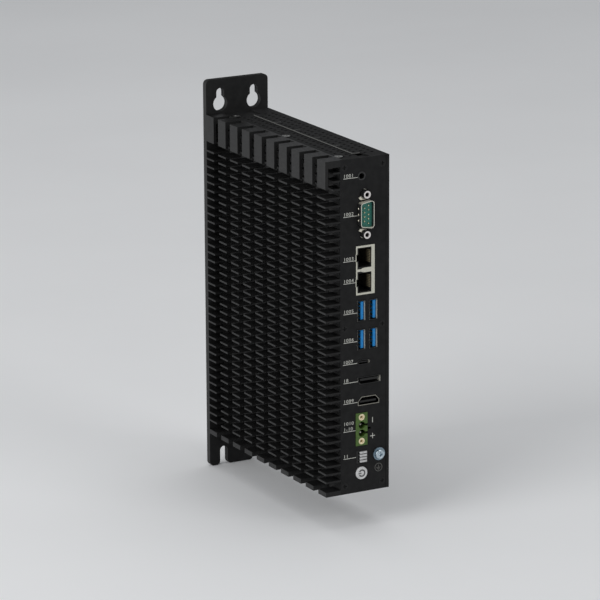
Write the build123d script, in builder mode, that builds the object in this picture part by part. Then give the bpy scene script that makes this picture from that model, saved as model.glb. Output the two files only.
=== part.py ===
# Fanless industrial computer in a narrow upright case.
# The port panel faces -Y, the finned heat sink faces -X and the wall is at +Y.
# The origin is the centre of the wall face of the mounting plate, level with the middle of the case.
from build123d import *
from math import radians, tan
import os

os.makedirs("parts", exist_ok=True)

# Driving sizes of the case, in millimetres.
body_width = 44.4
body_height = 210.8
plate_thickness = 4.0
panel_thickness = 1.5
cover_thickness = 1.0
sheet_thickness = 1.2
board_thickness = 1.6
fit_gap = 0.2
screw_gap = 0.05
screw_sides = 10

# Heat sink: fins run front to back and the cross grooves cut them into columns.
column_count = 10
column_pitch = 16.05
groove_width = 6.1
groove_depth = 11.2
fin_length = 10.6
fin_thickness = 1.1
fin_pitch = 5.1
first_fin_height = 9.2
base_thickness = 7.6
base_lip = 2.0
hook_drop = 17.0
hook_plate = 4.2
hook_flange = 2.0
short_fin_setback = 5.5
bottom_bar = 3.0

# Places that the rest of the case is measured from.
sink_depth = (column_count - 1) * column_pitch + column_pitch - groove_width
left_x = -body_width / 2
right_x = body_width / 2
rear_y = -plate_thickness
front_y = rear_y - sink_depth
bottom_z = -body_height / 2
top_z = body_height / 2
base_face_x = left_x + fin_length
base_inner_x = base_face_x + base_thickness
panel_overhang = 0.3
panel_left_x = base_face_x - panel_overhang
cover_lip = 2.4
panel_right_x = right_x - cover_lip
panel_back_y = front_y + panel_thickness
panel_width = panel_right_x - panel_left_x
panel_x = (panel_left_x + panel_right_x) / 2
board_depth = 20.0
port_board_y = front_y + board_depth


def front_plane(y):
    """Plane across the case at y: its x is X, its y is Z and it faces the port side."""
    return Plane.XZ.offset(-y)


def screw_outline(radius, mode=Mode.ADD):
    """Outline of a small screw or its hole, drawn with flats that touch the radius."""
    return RegularPolygon(radius, screw_sides, major_radius=False, mode=mode)


def save(builder, name):
    """Label the finished piece and write it under that name."""
    builder.part.label = name
    export_step(builder.part, f"parts/{name}.step")


# Ports down the panel, from the top: name, length along the panel, space above it.
audio_ring_radius = 2.75
serial_nut_spacing = 25.0
serial_nut_radius = 2.75
network_length = 30.7
data_length = 13.1
reversible_height = 3.2
display_height = 4.8
video_height = 5.5
power_length = 20.8
dip_length = 8.0
button_radius = 4.0
port_stack = [
    ("audio", 2 * audio_ring_radius, 8.5),
    ("serial", serial_nut_spacing + 2 * serial_nut_radius, 5.7),
    ("network", network_length, 4.4),
    ("upper_data", data_length, 3.6),
    ("lower_data", data_length, 5.0),
    ("reversible", reversible_height, 6.2),
    ("display", display_height, 7.8),
    ("video", video_height, 7.8),
    ("power", power_length, 4.8),
    ("dip", dip_length, 3.4),
    ("button", 2 * button_radius, 2.3),
]
bottom_space = 8.1
spare = body_height - sum(length for _, length, _ in port_stack)
space_scale = spare / (bottom_space + sum(space for _, _, space in port_stack))
port_z = {}
stack_z = top_z
for port_name, port_length, port_space in port_stack:
    stack_z -= port_space * space_scale + port_length / 2
    port_z[port_name] = stack_z
    stack_z -= port_length / 2

# How far each port's middle stands from the left edge of the panel.
audio_x = panel_left_x + 14.7
serial_x = panel_left_x + 16.8
network_x = panel_left_x + 17.3
data_left_x = panel_left_x + 14.7
data_spacing = 8.45
reversible_x = panel_left_x + 16.3
display_x = panel_left_x + 20.2
video_x = panel_left_x + 19.5
power_x = panel_left_x + 14.7
dip_x = panel_left_x + 15.2
button_x = panel_left_x + 14.6
ground_x = panel_left_x + 26.7

# Heat sink: one black aluminium extrusion with cross grooves milled across its fins.
fin_clearance = 2.0
short_rows_start = int((body_height - hook_drop - fin_clearance - first_fin_height) / fin_pitch) + 1
fin_rows = int((body_height - hook_plate - fin_clearance - first_fin_height) / fin_pitch) + 1
wall_drop = cover_thickness + sheet_thickness
panel_screw_radius = 1.5
panel_screw_head = 2.3
panel_screw_length = 8.0
panel_screw_inset = 5.0
panel_screw_left_x = panel_left_x + 2.9
panel_screw_right_x = panel_right_x - 2.4
panel_screw_rows = [bottom_z + panel_screw_inset, 0, top_z - panel_screw_inset]
case_screw_radius = 1.5
case_screw_head = 2.7
case_screw_head_height = 0.9
case_screw_length = 7.0
case_screw_x = base_face_x + base_lip + fit_gap + case_screw_head
case_screw_inset = 11.5
case_screw_rows = [front_y + case_screw_inset, (front_y + rear_y) / 2, rear_y - case_screw_inset]
wall_screw_radius = 2.0
wall_screw_head = 3.6
wall_screw_length = 12.0
wall_screw_spare = 1.0
wall_screw_reach = 70.0
wall_screw_left_x = base_face_x + base_thickness / 2
wall_screw_spacing = 22.0
wall_screw_right_x = wall_screw_left_x + wall_screw_spacing

with BuildPart() as heat_sink:
    with BuildSketch(front_plane(front_y)):
        for row in range(fin_rows):
            row_z = bottom_z + first_fin_height + row * fin_pitch
            setback = short_fin_setback if row >= short_rows_start else 0
            length = fin_length - setback
            with Locations((base_face_x - length / 2, row_z)):
                Rectangle(length, fin_thickness)
        with BuildLine():
            Polyline(
                (left_x, top_z),
                (base_face_x, top_z),
                (base_face_x, top_z - hook_plate),
                (left_x + hook_flange, top_z - hook_plate),
                (left_x + hook_flange, top_z - hook_drop),
                (left_x, top_z - hook_drop),
                close=True,
            )
        make_face()
        with Locations((left_x + fin_length / 2, bottom_z + bottom_bar / 2)):
            Rectangle(fin_length, bottom_bar)
    extrude(amount=-sink_depth)
    with BuildSketch(front_plane(panel_back_y)):
        with Locations(((base_face_x + base_inner_x) / 2, 0)):
            Rectangle(base_thickness, body_height - 2 * wall_drop)
        with Locations((base_face_x + base_lip / 2, 0)):
            Rectangle(base_lip, body_height)
    extrude(amount=-(sink_depth - panel_thickness))
    with BuildSketch(front_plane(front_y)):
        with Locations(((panel_left_x + base_inner_x) / 2, 0)):
            Rectangle(base_inner_x - panel_left_x, body_height + 2)
    extrude(amount=-panel_thickness, mode=Mode.SUBTRACT)
    groove_rows = [rear_y - (row + 1) * column_pitch + groove_width / 2 for row in range(column_count - 1)]
    with Locations(*[(left_x + groove_depth / 2, row_y, 0) for row_y in groove_rows]):
        Box(groove_depth, groove_width, body_height + 2, mode=Mode.SUBTRACT)
    with BuildSketch(front_plane(panel_back_y)):
        with Locations(*[(panel_screw_left_x, row_z) for row_z in panel_screw_rows]):
            screw_outline(panel_screw_radius + screw_gap)
    extrude(amount=-panel_screw_length, mode=Mode.SUBTRACT)
    with BuildSketch(Plane.XY.offset(top_z - wall_drop)):
        with Locations(*[(case_screw_x, row_y) for row_y in case_screw_rows]):
            screw_outline(case_screw_radius + screw_gap)
    extrude(amount=-case_screw_length, mode=Mode.SUBTRACT)
    with BuildSketch(Plane.XY.offset(bottom_z + wall_drop)):
        with Locations(*[(case_screw_x, row_y) for row_y in case_screw_rows]):
            screw_outline(case_screw_radius + screw_gap)
    extrude(amount=case_screw_length, mode=Mode.SUBTRACT)
    with BuildSketch(front_plane(rear_y)):
        with Locations((wall_screw_left_x, wall_screw_reach), (wall_screw_left_x, -wall_screw_reach)):
            screw_outline(wall_screw_radius + screw_gap)
    extrude(amount=wall_screw_length, mode=Mode.SUBTRACT)
save(heat_sink, "heat_sink")

# Chassis: a folded sheet tray with top, bottom and rear walls that lap over the heat sink base.
# Small square vents fill its top, and longer slots its bottom.
vent_pitch = 5.06
vent_size = 2.0
vent_columns = 5
vent_rows = 26
vent_x = base_face_x + 8.2
vent_front_y = front_y + 11.6
vent_tick_step = 5
flange_edge_x = right_x - 17.9
flange_step_x = flange_edge_x + 5.3
flange_front_y = front_y + 13.6
flange_rear_y = rear_y - 14.4
window_margin = 2.4
window_lap = 1.2
window_left = flange_edge_x + window_lap
window_front = vent_front_y - vent_pitch / 2
window_rear = vent_front_y + (vent_rows - 0.5) * vent_pitch
wall_flange = 10.0
chassis_left_x = base_face_x + base_lip
chassis_right_x = right_x - cover_thickness
side_screw_radius = 1.25
side_screw_head = 2.3
side_screw_length = 4.0
side_screw_drop = 7.0
side_screw_inset = 30.0
side_screw_rows = [front_y + side_screw_inset, rear_y - side_screw_inset]
side_screw_z = top_z - side_screw_drop
side_screw_places = [(row_y, row_z) for row_y in side_screw_rows for row_z in (side_screw_z, -side_screw_z)]


def vent_places(first_column, last_column, skip_ticks):
    """Places of the square vents of some columns, counted from the heat sink."""
    places = []
    for column in range(first_column, last_column):
        for row in range(vent_rows):
            tick = skip_ticks and column == first_column and row % vent_tick_step == 0
            if not tick:
                places.append((vent_x + column * vent_pitch, vent_front_y + row * vent_pitch))
    return places


def slot_places(first_column, last_column):
    """Places of the bottom slots, one across some columns of every other row of vents."""
    middle_x = vent_x + (first_column + last_column - 1) / 2 * vent_pitch
    return [(middle_x, vent_front_y + row * vent_pitch) for row in range(0, vent_rows, 2)]


def slot_reach(first_column, last_column):
    """Length of a bottom slot that crosses some columns of vents."""
    return (last_column - first_column - 1) * vent_pitch + vent_size


open_columns = int((flange_edge_x - vent_x) / vent_pitch) + 1
with BuildPart() as chassis:
    with BuildSketch(front_plane(panel_back_y)):
        with Locations(((chassis_left_x + chassis_right_x) / 2, 0)):
            Rectangle(chassis_right_x - chassis_left_x, body_height - 2 * cover_thickness)
            Rectangle(2 * body_width, body_height - 2 * wall_drop, mode=Mode.SUBTRACT)
    extrude(amount=-(sink_depth - panel_thickness))
    flange_start_y = panel_back_y + cover_thickness + fit_gap
    with BuildSketch(front_plane(flange_start_y)):
        flange_z = top_z - wall_drop - wall_flange / 2
        flange_x = chassis_right_x - sheet_thickness / 2
        with Locations((flange_x, flange_z), (flange_x, -flange_z)):
            Rectangle(sheet_thickness, wall_flange)
    extrude(amount=flange_start_y - rear_y)
    rear_left_x = base_inner_x
    with BuildSketch(front_plane(rear_y)):
        with Locations(((rear_left_x + chassis_right_x) / 2, 0)):
            Rectangle(chassis_right_x - rear_left_x, body_height - 2 * wall_drop)
        with Locations((wall_screw_right_x, wall_screw_reach), (wall_screw_right_x, -wall_screw_reach)):
            screw_outline(wall_screw_radius + screw_gap, Mode.SUBTRACT)
    extrude(amount=sheet_thickness)
    with BuildSketch():
        with Locations(*vent_places(0, open_columns, False)):
            Rectangle(vent_size, vent_size)
    extrude(amount=body_height, mode=Mode.SUBTRACT)
    with BuildSketch():
        with Locations(*slot_places(0, open_columns)):
            Rectangle(slot_reach(0, open_columns), vent_size)
    extrude(amount=-body_height, mode=Mode.SUBTRACT)
    with BuildSketch(Plane.XY.offset(bottom_z)):
        window_right = chassis_right_x - window_margin
        with Locations(((window_left + window_right) / 2, (window_front + window_rear) / 2)):
            Rectangle(window_right - window_left, window_rear - window_front)
        with Locations(*[(case_screw_x, row_y) for row_y in case_screw_rows]):
            screw_outline(case_screw_radius + screw_gap)
    extrude(amount=body_height, mode=Mode.SUBTRACT)
    with BuildSketch(Plane.YZ.offset(chassis_right_x)):
        with Locations(*side_screw_places):
            screw_outline(side_screw_radius + screw_gap)
    extrude(amount=-sheet_thickness, mode=Mode.SUBTRACT)
save(chassis, "chassis")

# Side cover: right wall with flanges lapped over the chassis, vents, edge slits and a folded front lip.
tab_reach = 7.0
tab_height = 8.0
slit_length = 5.2
slit_width = 1.0
with BuildPart() as side_cover:
    with BuildSketch(Plane.YZ.offset(right_x)):
        with Locations(((front_y + rear_y) / 2, 0)):
            Rectangle(sink_depth, body_height)
    extrude(amount=-cover_thickness)
    with BuildSketch(Plane.XY.offset(top_z)):
        with BuildLine():
            Polyline(
                (chassis_right_x, panel_back_y),
                (flange_step_x, panel_back_y),
                (flange_step_x, flange_front_y),
                (flange_edge_x, flange_front_y),
                (flange_edge_x, flange_rear_y),
                (flange_step_x, flange_rear_y),
                (flange_step_x, rear_y),
                (chassis_right_x, rear_y),
                close=True,
            )
        make_face()
    extrude(amount=-cover_thickness)
    mirror(about=Plane.XY)
    with BuildSketch():
        with Locations(*vent_places(open_columns, vent_columns, True)):
            Rectangle(vent_size, vent_size)
        slit_rows = range(vent_tick_step, vent_rows - 1, vent_tick_step)
        slit_x = flange_edge_x + slit_length / 2
        with Locations(*[(slit_x, vent_front_y + row * vent_pitch) for row in slit_rows]):
            Rectangle(slit_length, slit_width)
    extrude(amount=body_height, mode=Mode.SUBTRACT)
    with BuildSketch():
        with Locations(*slot_places(open_columns, vent_columns)):
            Rectangle(slot_reach(open_columns, vent_columns), vent_size)
    extrude(amount=-body_height, mode=Mode.SUBTRACT)
    with BuildSketch(front_plane(front_y)):
        with Locations(((panel_right_x + chassis_right_x) / 2 + fit_gap / 2, 0)):
            Rectangle(chassis_right_x - panel_right_x - fit_gap, body_height)
    extrude(amount=-cover_thickness)
    tab_z = top_z - wall_drop - fit_gap - tab_height / 2
    tab_rows = [-tab_z, 0, tab_z]
    with BuildSketch(front_plane(panel_back_y)):
        with Locations(*[(chassis_right_x - tab_reach / 2, row_z) for row_z in tab_rows]):
            Rectangle(tab_reach, tab_height)
        with Locations(*[(panel_screw_right_x, row_z) for row_z in panel_screw_rows]):
            screw_outline(panel_screw_radius + screw_gap, Mode.SUBTRACT)
    extrude(amount=-cover_thickness)
    with BuildSketch(Plane.YZ.offset(right_x)):
        with Locations(*side_screw_places):
            screw_outline(side_screw_radius + screw_gap + cover_thickness)
    extrude(amount=-cover_thickness, taper=45, mode=Mode.SUBTRACT)
save(side_cover, "side_cover")


def flat_screws(plane, places, shank_radius, head_depth, length):
    """A group of countersunk screws whose heads end flush with the plane."""
    with BuildPart() as screws:
        with BuildSketch(plane):
            with Locations(*places):
                screw_outline(shank_radius + head_depth)
        extrude(amount=-head_depth, taper=45)
        with BuildSketch(plane):
            with Locations(*places):
                screw_outline(shank_radius)
        extrude(amount=-length)
    return screws


save(flat_screws(Plane.YZ.offset(right_x), side_screw_places, side_screw_radius,
                 cover_thickness, side_screw_length), "side_cover_screws")


# Outlines of the port mouths, each drawn about its own middle.
serial_width = 9.2
serial_length = 17.7
serial_corner = 1.9


def serial_face(grow):
    """D outline of the nine-pin port, long side towards +X, grown all round."""
    half = serial_width / 2 + grow
    slope = 2 * half * tan(radians(10))
    reach = serial_length / 2 + grow
    with BuildSketch() as face:
        with BuildLine():
            Polyline(
                (half, reach),
                (half, -reach),
                (-half, slope - reach),
                (-half, reach - slope),
                close=True,
            )
        make_face()
        fillet(face.vertices(), serial_corner + grow)
    return face.sketch


display_width = 16.1
display_corner = 1.6


def display_face(grow):
    """Outline of the wide port with one corner cut off."""
    half = display_width / 2 + grow
    rise = display_height / 2 + grow
    with BuildSketch() as face:
        with BuildLine():
            Polyline(
                (-half, rise),
                (half, rise),
                (half, -rise),
                (-half + display_corner, -rise),
                (-half, -rise + display_corner),
                close=True,
            )
        make_face()
    return face.sketch


video_width = 15.0
video_top = 9.8
video_side = 2.6


def video_face(grow):
    """Outline of the video port, narrow side up."""
    half = video_width / 2 + grow
    rise = video_height / 2 + grow
    top = video_top / 2 + grow / 2
    side = -video_height / 2 + video_side
    with BuildSketch() as face:
        with BuildLine():
            Polyline(
                (-half, -rise),
                (half, -rise),
                (half, side),
                (top, rise),
                (-top, rise),
                (-half, side),
                close=True,
            )
        make_face()
    return face.sketch


# Front panel: one plate with a cut-out for each port.
audio_radius = 2.5
serial_lobe_radius = 3.1
network_width = 13.0
data_width = 5.7
reversible_width = 8.9
power_width = 8.2
power_key_width = 2.4
power_key_height = 1.4
dip_width = 8.2
button_gap = 0.3
ground_radius = 2.0
ground_z = port_z["dip"] + 0.4
panel_screws_at = [(x, z) for x in (panel_screw_left_x, panel_screw_right_x) for z in panel_screw_rows]
data_rows = ["upper_data", "lower_data"]
data_places = [(data_left_x + side * data_spacing, port_z[row]) for side in (0, 1) for row in data_rows]
nut_places = [(serial_x, port_z["serial"] + side * serial_nut_spacing / 2) for side in (1, -1)]
serial_hole = serial_face(fit_gap)
display_hole = display_face(fit_gap)
video_hole = video_face(fit_gap)
panel_screw_head_depth = panel_screw_head - panel_screw_radius
with BuildPart() as front_panel:
    with BuildSketch(front_plane(front_y)):
        with Locations((panel_x, 0)):
            Rectangle(panel_width, body_height)
        with Locations((audio_x, port_z["audio"])):
            Circle(audio_radius + fit_gap, mode=Mode.SUBTRACT)
        with Locations((serial_x, port_z["serial"])):
            add(serial_hole, mode=Mode.SUBTRACT)
        with Locations(*nut_places):
            Circle(serial_lobe_radius, mode=Mode.SUBTRACT)
        with Locations((network_x, port_z["network"])):
            Rectangle(network_width + 2 * fit_gap, network_length + 2 * fit_gap, mode=Mode.SUBTRACT)
        with Locations(*data_places):
            Rectangle(data_width + 2 * fit_gap, data_length + 2 * fit_gap, mode=Mode.SUBTRACT)
        with Locations((reversible_x, port_z["reversible"])):
            SlotOverall(reversible_width + 2 * fit_gap, reversible_height + 2 * fit_gap, mode=Mode.SUBTRACT)
        with Locations((display_x, port_z["display"])):
            add(display_hole, mode=Mode.SUBTRACT)
        with Locations((video_x, port_z["video"])):
            add(video_hole, mode=Mode.SUBTRACT)
        with Locations((power_x, port_z["power"])):
            Rectangle(power_width + 2 * fit_gap, power_length + 2 * fit_gap, mode=Mode.SUBTRACT)
        with Locations((power_x + power_width / 2 + power_key_width / 2, port_z["power"])):
            Rectangle(power_key_width + fit_gap, power_key_height, mode=Mode.SUBTRACT)
        with Locations((dip_x, port_z["dip"])):
            Rectangle(dip_width + 2 * fit_gap, dip_length + 2 * fit_gap, mode=Mode.SUBTRACT)
        with Locations((button_x, port_z["button"])):
            Circle(button_radius + button_gap, mode=Mode.SUBTRACT)
        with Locations((ground_x, ground_z)):
            screw_outline(ground_radius + fit_gap, Mode.SUBTRACT)
        with Locations(*panel_screws_at):
            screw_outline(panel_screw_radius + screw_gap, Mode.SUBTRACT)
    extrude(amount=-panel_thickness)
    with BuildSketch(front_plane(front_y)):
        with Locations(*panel_screws_at):
            screw_outline(panel_screw_head + screw_gap)
    extrude(amount=-panel_screw_head_depth, taper=45, mode=Mode.SUBTRACT)
save(front_panel, "front_panel")
save(flat_screws(front_plane(front_y), panel_screws_at, panel_screw_radius,
                 panel_screw_head_depth, panel_screw_length), "panel_screws")

# Case screws: pan heads that hold the chassis walls to the edges of the heat sink base.
with BuildPart() as case_screws:
    with BuildSketch(Plane.XY.offset(top_z - cover_thickness)):
        with Locations(*[(case_screw_x, row_y) for row_y in case_screw_rows]):
            screw_outline(case_screw_head)
    extrude(amount=case_screw_head_height)
    with BuildSketch(Plane.XY.offset(top_z - cover_thickness)):
        with Locations(*[(case_screw_x, row_y) for row_y in case_screw_rows]):
            screw_outline(case_screw_radius)
    extrude(amount=-case_screw_length)
    mirror(about=Plane.XY)
save(case_screws, "case_screws")

# Mounting plate: keyholes above the case, open slots below it, held by countersunk screws.
plate_reach_up = 22.1
plate_reach_down = 22.2
plate_corner = 3.0
tooth_corner = 2.4
keyhole_spacing = 24.0
keyhole_radius = 5.0
keyhole_drop = 15.8
slot_width = 5.5
slot_top_drop = 5.8
foot_slot_height = 12.2
plate_top = top_z + plate_reach_up
plate_bottom = bottom_z - plate_reach_down
wall_screw_columns = [wall_screw_left_x, wall_screw_right_x]
wall_screw_places = [(x, z) for x in wall_screw_columns for z in (wall_screw_reach, -wall_screw_reach)]
wall_screw_head_depth = wall_screw_head - wall_screw_radius
wall_side = Plane(origin=(0, 0, 0), x_dir=(-1, 0, 0), z_dir=(0, 1, 0))
wall_side_places = [(-x, z) for x, z in wall_screw_places]
with BuildPart() as mounting_plate:
    with BuildSketch(wall_side):
        with Locations((0, (plate_top + plate_bottom) / 2)):
            plate = Rectangle(body_width, plate_top - plate_bottom)
        fillet(plate.vertices().group_by(Axis.Z)[-1], plate_corner)
        slot_end = plate_bottom + foot_slot_height - slot_width / 2
        for side in (-1, 1):
            with Locations((side * keyhole_spacing / 2, plate_top - keyhole_drop)):
                Circle(keyhole_radius, mode=Mode.SUBTRACT)
            neck_top = plate_top - slot_top_drop - slot_width / 2
            neck_bottom = plate_top - keyhole_drop
            with Locations((side * keyhole_spacing / 2, (neck_top + neck_bottom) / 2)):
                Rectangle(slot_width, neck_top - neck_bottom, mode=Mode.SUBTRACT)
            with Locations((side * keyhole_spacing / 2, neck_top), (side * keyhole_spacing / 2, slot_end)):
                Circle(slot_width / 2, mode=Mode.SUBTRACT)
            with Locations((side * keyhole_spacing / 2, (slot_end + plate_bottom) / 2)):
                Rectangle(slot_width, slot_end - plate_bottom, mode=Mode.SUBTRACT)
    extrude(amount=-plate_thickness)
    fillet(mounting_plate.edges().filter_by(Axis.Y).group_by(Axis.Z)[0], tooth_corner)
    with BuildSketch(wall_side):
        with Locations(*wall_side_places):
            screw_outline(wall_screw_radius + screw_gap)
    extrude(amount=-plate_thickness, mode=Mode.SUBTRACT)
    with BuildSketch(wall_side):
        with Locations(*wall_side_places):
            screw_outline(wall_screw_head + screw_gap)
    extrude(amount=-wall_screw_head_depth, taper=45, mode=Mode.SUBTRACT)
save(mounting_plate, "mounting_plate")
save(flat_screws(wall_side, wall_side_places, wall_screw_radius, wall_screw_head_depth,
                 wall_screw_length - wall_screw_spare), "mounting_plate_screws")

nut_height = 3.2
nut_flats = 7.0
with BuildPart() as mounting_plate_nuts:
    with BuildSketch(front_plane(rear_y - sheet_thickness)):
        with Locations((wall_screw_right_x, wall_screw_reach), (wall_screw_right_x, -wall_screw_reach)):
            RegularPolygon(nut_flats / 2, 6, major_radius=False)
            screw_outline(wall_screw_radius + screw_gap, Mode.SUBTRACT)
    extrude(amount=nut_height)
save(mounting_plate_nuts, "mounting_plate_nuts")

# Port board: stands behind the panel and carries every port.
port_face_y = front_y - fit_gap
port_reach = port_board_y - port_face_y
port_board_margin = 1.2
port_board_left_x = base_inner_x + port_board_margin
port_board_right_x = chassis_right_x - sheet_thickness - port_board_margin
port_board_clearance = 2.0
port_board_height = body_height - 2 * (wall_drop + port_board_clearance)
with BuildPart() as port_board:
    with BuildSketch(front_plane(port_board_y)):
        with Locations(((port_board_left_x + port_board_right_x) / 2, 0)):
            Rectangle(port_board_right_x - port_board_left_x, port_board_height)
    extrude(amount=-board_thickness)
save(port_board, "port_board")

spacer_radius = 2.2
spacer_inset = 2.6
spacer_x = panel_screw_right_x - spacer_inset
spacer_drop = 16.0
spacer_rise = 11.2
spacer_places = [(spacer_x, top_z - spacer_drop), (spacer_x, ground_z + spacer_rise)]
with BuildPart() as port_board_spacers:
    with BuildSketch(front_plane(panel_back_y)):
        with Locations(*spacer_places):
            RegularPolygon(spacer_radius, 6, major_radius=False)
    extrude(amount=-(board_depth - panel_thickness))
save(port_board_spacers, "port_board_spacers")

# Audio jack: plastic body with a round collar in the panel and a bore for a 3.5 mm plug.
audio_bore = 1.8
audio_bore_depth = 14.0
audio_body = 7.0
with BuildPart() as audio_jack:
    with BuildSketch(front_plane(panel_back_y + fit_gap)):
        with Locations((audio_x, port_z["audio"])):
            Rectangle(audio_body, audio_body)
    extrude(amount=-(board_depth - panel_thickness - fit_gap))
    with BuildSketch(front_plane(port_face_y)):
        with Locations((audio_x, port_z["audio"])):
            Circle(audio_radius)
    extrude(amount=-(panel_thickness + 2 * fit_gap))
    with BuildSketch(front_plane(port_face_y)):
        with Locations((audio_x, port_z["audio"])):
            Circle(audio_bore)
    extrude(amount=-audio_bore_depth, mode=Mode.SUBTRACT)
save(audio_jack, "audio_jack")

# Nine-pin serial port: D shell on a flange behind the panel, plastic insert, pins and hex jack screws.
shell_sheet = 0.4
serial_flange_thickness = 0.8
serial_rim_y = front_y - 4.0
serial_floor_y = serial_rim_y + 2.4
serial_flange_width = 12.5
serial_flange_length = 30.8
serial_pin_radius = 0.5
serial_pin_sides = 8
jack_flats = 4.8
jack_bore = 1.15
jack_height = 5.0
jack_floor = 0.5
jack_shank_radius = 1.45
jack_shank_length = 4.0
serial_pin_pitch = 2.77
serial_pin_rows = 2.84
serial_pin_tip_y = serial_rim_y + 1.2
serial_outer = serial_face(0)
serial_inner = serial_face(-shell_sheet)
with BuildPart() as serial_shell:
    with BuildSketch(front_plane(panel_back_y)):
        with Locations((serial_x, port_z["serial"])):
            Rectangle(serial_flange_width, serial_flange_length)
        with Locations(*nut_places):
            screw_outline(jack_shank_radius + screw_gap, Mode.SUBTRACT)
    extrude(amount=-serial_flange_thickness)
    with BuildSketch(front_plane(serial_rim_y)):
        with Locations((serial_x, port_z["serial"])):
            add(serial_outer)
    extrude(amount=serial_rim_y - panel_back_y)
    with BuildSketch(front_plane(serial_rim_y)):
        with Locations((serial_x, port_z["serial"])):
            add(serial_inner)
    extrude(amount=serial_rim_y - panel_back_y - serial_flange_thickness, mode=Mode.SUBTRACT)
save(serial_shell, "serial_shell")

pin_places = []
for pin in range(5):
    pin_places.append((serial_x + serial_pin_rows / 2, port_z["serial"] + (pin - 2) * serial_pin_pitch))
for pin in range(4):
    pin_places.append((serial_x - serial_pin_rows / 2, port_z["serial"] + (pin - 1.5) * serial_pin_pitch))
with BuildPart() as serial_insert:
    with BuildSketch(front_plane(serial_floor_y)):
        with Locations((serial_x, port_z["serial"])):
            add(serial_inner)
        with Locations(*pin_places):
            RegularPolygon(serial_pin_radius, serial_pin_sides, mode=Mode.SUBTRACT)
    extrude(amount=-(port_board_y - serial_floor_y))
save(serial_insert, "serial_insert")

with BuildPart() as serial_pins:
    with BuildSketch(front_plane(serial_pin_tip_y)):
        with Locations(*pin_places):
            RegularPolygon(serial_pin_radius, serial_pin_sides)
    extrude(amount=-(port_board_y - serial_pin_tip_y))
    chamfer(serial_pins.faces().filter_by(Axis.Y).group_by(Axis.Y)[0].edges(), serial_pin_radius / 2)
save(serial_pins, "serial_pins")

with BuildPart() as serial_jack_screws:
    with BuildSketch(front_plane(panel_back_y)):
        with Locations(*nut_places):
            RegularPolygon(jack_flats / 2, 6, major_radius=False)
    extrude(amount=jack_height)
    with BuildSketch(front_plane(panel_back_y)):
        with Locations(*nut_places):
            screw_outline(jack_shank_radius)
    extrude(amount=-jack_shank_length)
    with BuildSketch(front_plane(panel_back_y - jack_height)):
        with Locations(*nut_places):
            Circle(jack_bore)
    extrude(amount=-(jack_height - jack_floor), mode=Mode.SUBTRACT)
save(serial_jack_screws, "serial_jack_screws")

# Double network port: metal cage with two windows, plastic insert and eight spring contacts in each.
network_window_length = 12.7
network_cavity_length = 11.8
network_spacing = 15.56
network_left_bar = 0.9
network_right_bar = 2.3
network_shoulder_rise = 0.7
network_shoulder_reach = 2.3
network_shoulder_end = 4.6
network_latch = 4.8
network_latch_wall = 0.4
network_cavity_step = 1.0
network_cavity_depth = 13.0
cage_sheet = 0.5
network_left_x = network_x - network_width / 2
network_right_x = network_x + network_width / 2
window_left_x = network_left_x + network_left_bar
window_right_x = network_right_x - network_right_bar
window_x = (window_left_x + window_right_x) / 2
network_rows = [port_z["network"] + side * network_spacing / 2 for side in (1, -1)]
with BuildPart() as network_cage:
    with BuildSketch(front_plane(port_face_y)):
        with Locations((network_x, port_z["network"])):
            Rectangle(network_width, network_length)
    extrude(amount=-port_reach)
    with BuildSketch(front_plane(port_face_y + cage_sheet)):
        with Locations((network_x, port_z["network"])):
            Rectangle(network_width - 2 * cage_sheet, network_length - 2 * cage_sheet)
    extrude(amount=-(port_reach - cage_sheet), mode=Mode.SUBTRACT)
    with BuildSketch(front_plane(port_face_y)):
        with Locations(*[(window_x, row_z) for row_z in network_rows]):
            Rectangle(window_right_x - window_left_x, network_window_length)
        with Locations(*[(network_left_x + network_left_bar / 2, row_z) for row_z in network_rows]):
            Rectangle(network_left_bar + 2, network_latch)
        for row_z in network_rows:
            inward = -1 if row_z > port_z["network"] else 1
            window_end_z = row_z + inward * network_window_length / 2
            shoulder_z = window_end_z + inward * network_shoulder_rise
            with BuildLine():
                Polyline(
                    (window_left_x, row_z),
                    (window_left_x, shoulder_z),
                    (window_left_x + network_shoulder_reach, shoulder_z),
                    (window_left_x + network_shoulder_end, window_end_z),
                    (window_left_x + network_shoulder_end, row_z),
                    close=True,
                )
            make_face()
    extrude(amount=-cage_sheet, mode=Mode.SUBTRACT)
save(network_cage, "network_cage")

network_cavity_left_x = window_left_x + network_cavity_step
with BuildPart() as network_insert:
    with BuildSketch(front_plane(port_face_y + cage_sheet)):
        with Locations((network_x, port_z["network"])):
            Rectangle(network_width - 2 * cage_sheet, network_length - 2 * cage_sheet)
    extrude(amount=-(port_reach - cage_sheet))
    with BuildSketch(front_plane(port_face_y + cage_sheet)):
        with Locations(*[((network_cavity_left_x + window_right_x) / 2, row_z) for row_z in network_rows]):
            Rectangle(window_right_x - network_cavity_left_x, network_cavity_length)
        with Locations(*[((network_left_x + cage_sheet + window_x) / 2, row_z) for row_z in network_rows]):
            Rectangle(window_x - network_left_x - cage_sheet, network_latch - 2 * network_latch_wall)
    extrude(amount=-network_cavity_depth, mode=Mode.SUBTRACT)
save(network_insert, "network_insert")

contact_count = 8
contact_pitch = 1.02
contact_width = 0.5
contact_sheet = 0.35
contact_front_y = front_y + 1.2
contact_root = 2.0
contact_rear_y = port_face_y + cage_sheet + network_cavity_depth
contact_slope = 2.2
with BuildPart() as network_contacts:
    for row_z in network_rows:
        first_z = row_z - (contact_count - 1) * contact_pitch / 2 - contact_width / 2
        for contact in range(contact_count):
            with BuildSketch(Plane.XY.offset(first_z + contact * contact_pitch)):
                with BuildLine():
                    Polyline(
                        (window_right_x, contact_front_y),
                        (window_right_x - contact_slope, contact_rear_y),
                        (window_right_x - contact_slope + contact_sheet, contact_rear_y),
                        (window_right_x, contact_front_y + contact_root),
                        close=True,
                    )
                make_face()
            extrude(amount=contact_width)
save(network_contacts, "network_contacts")

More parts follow.
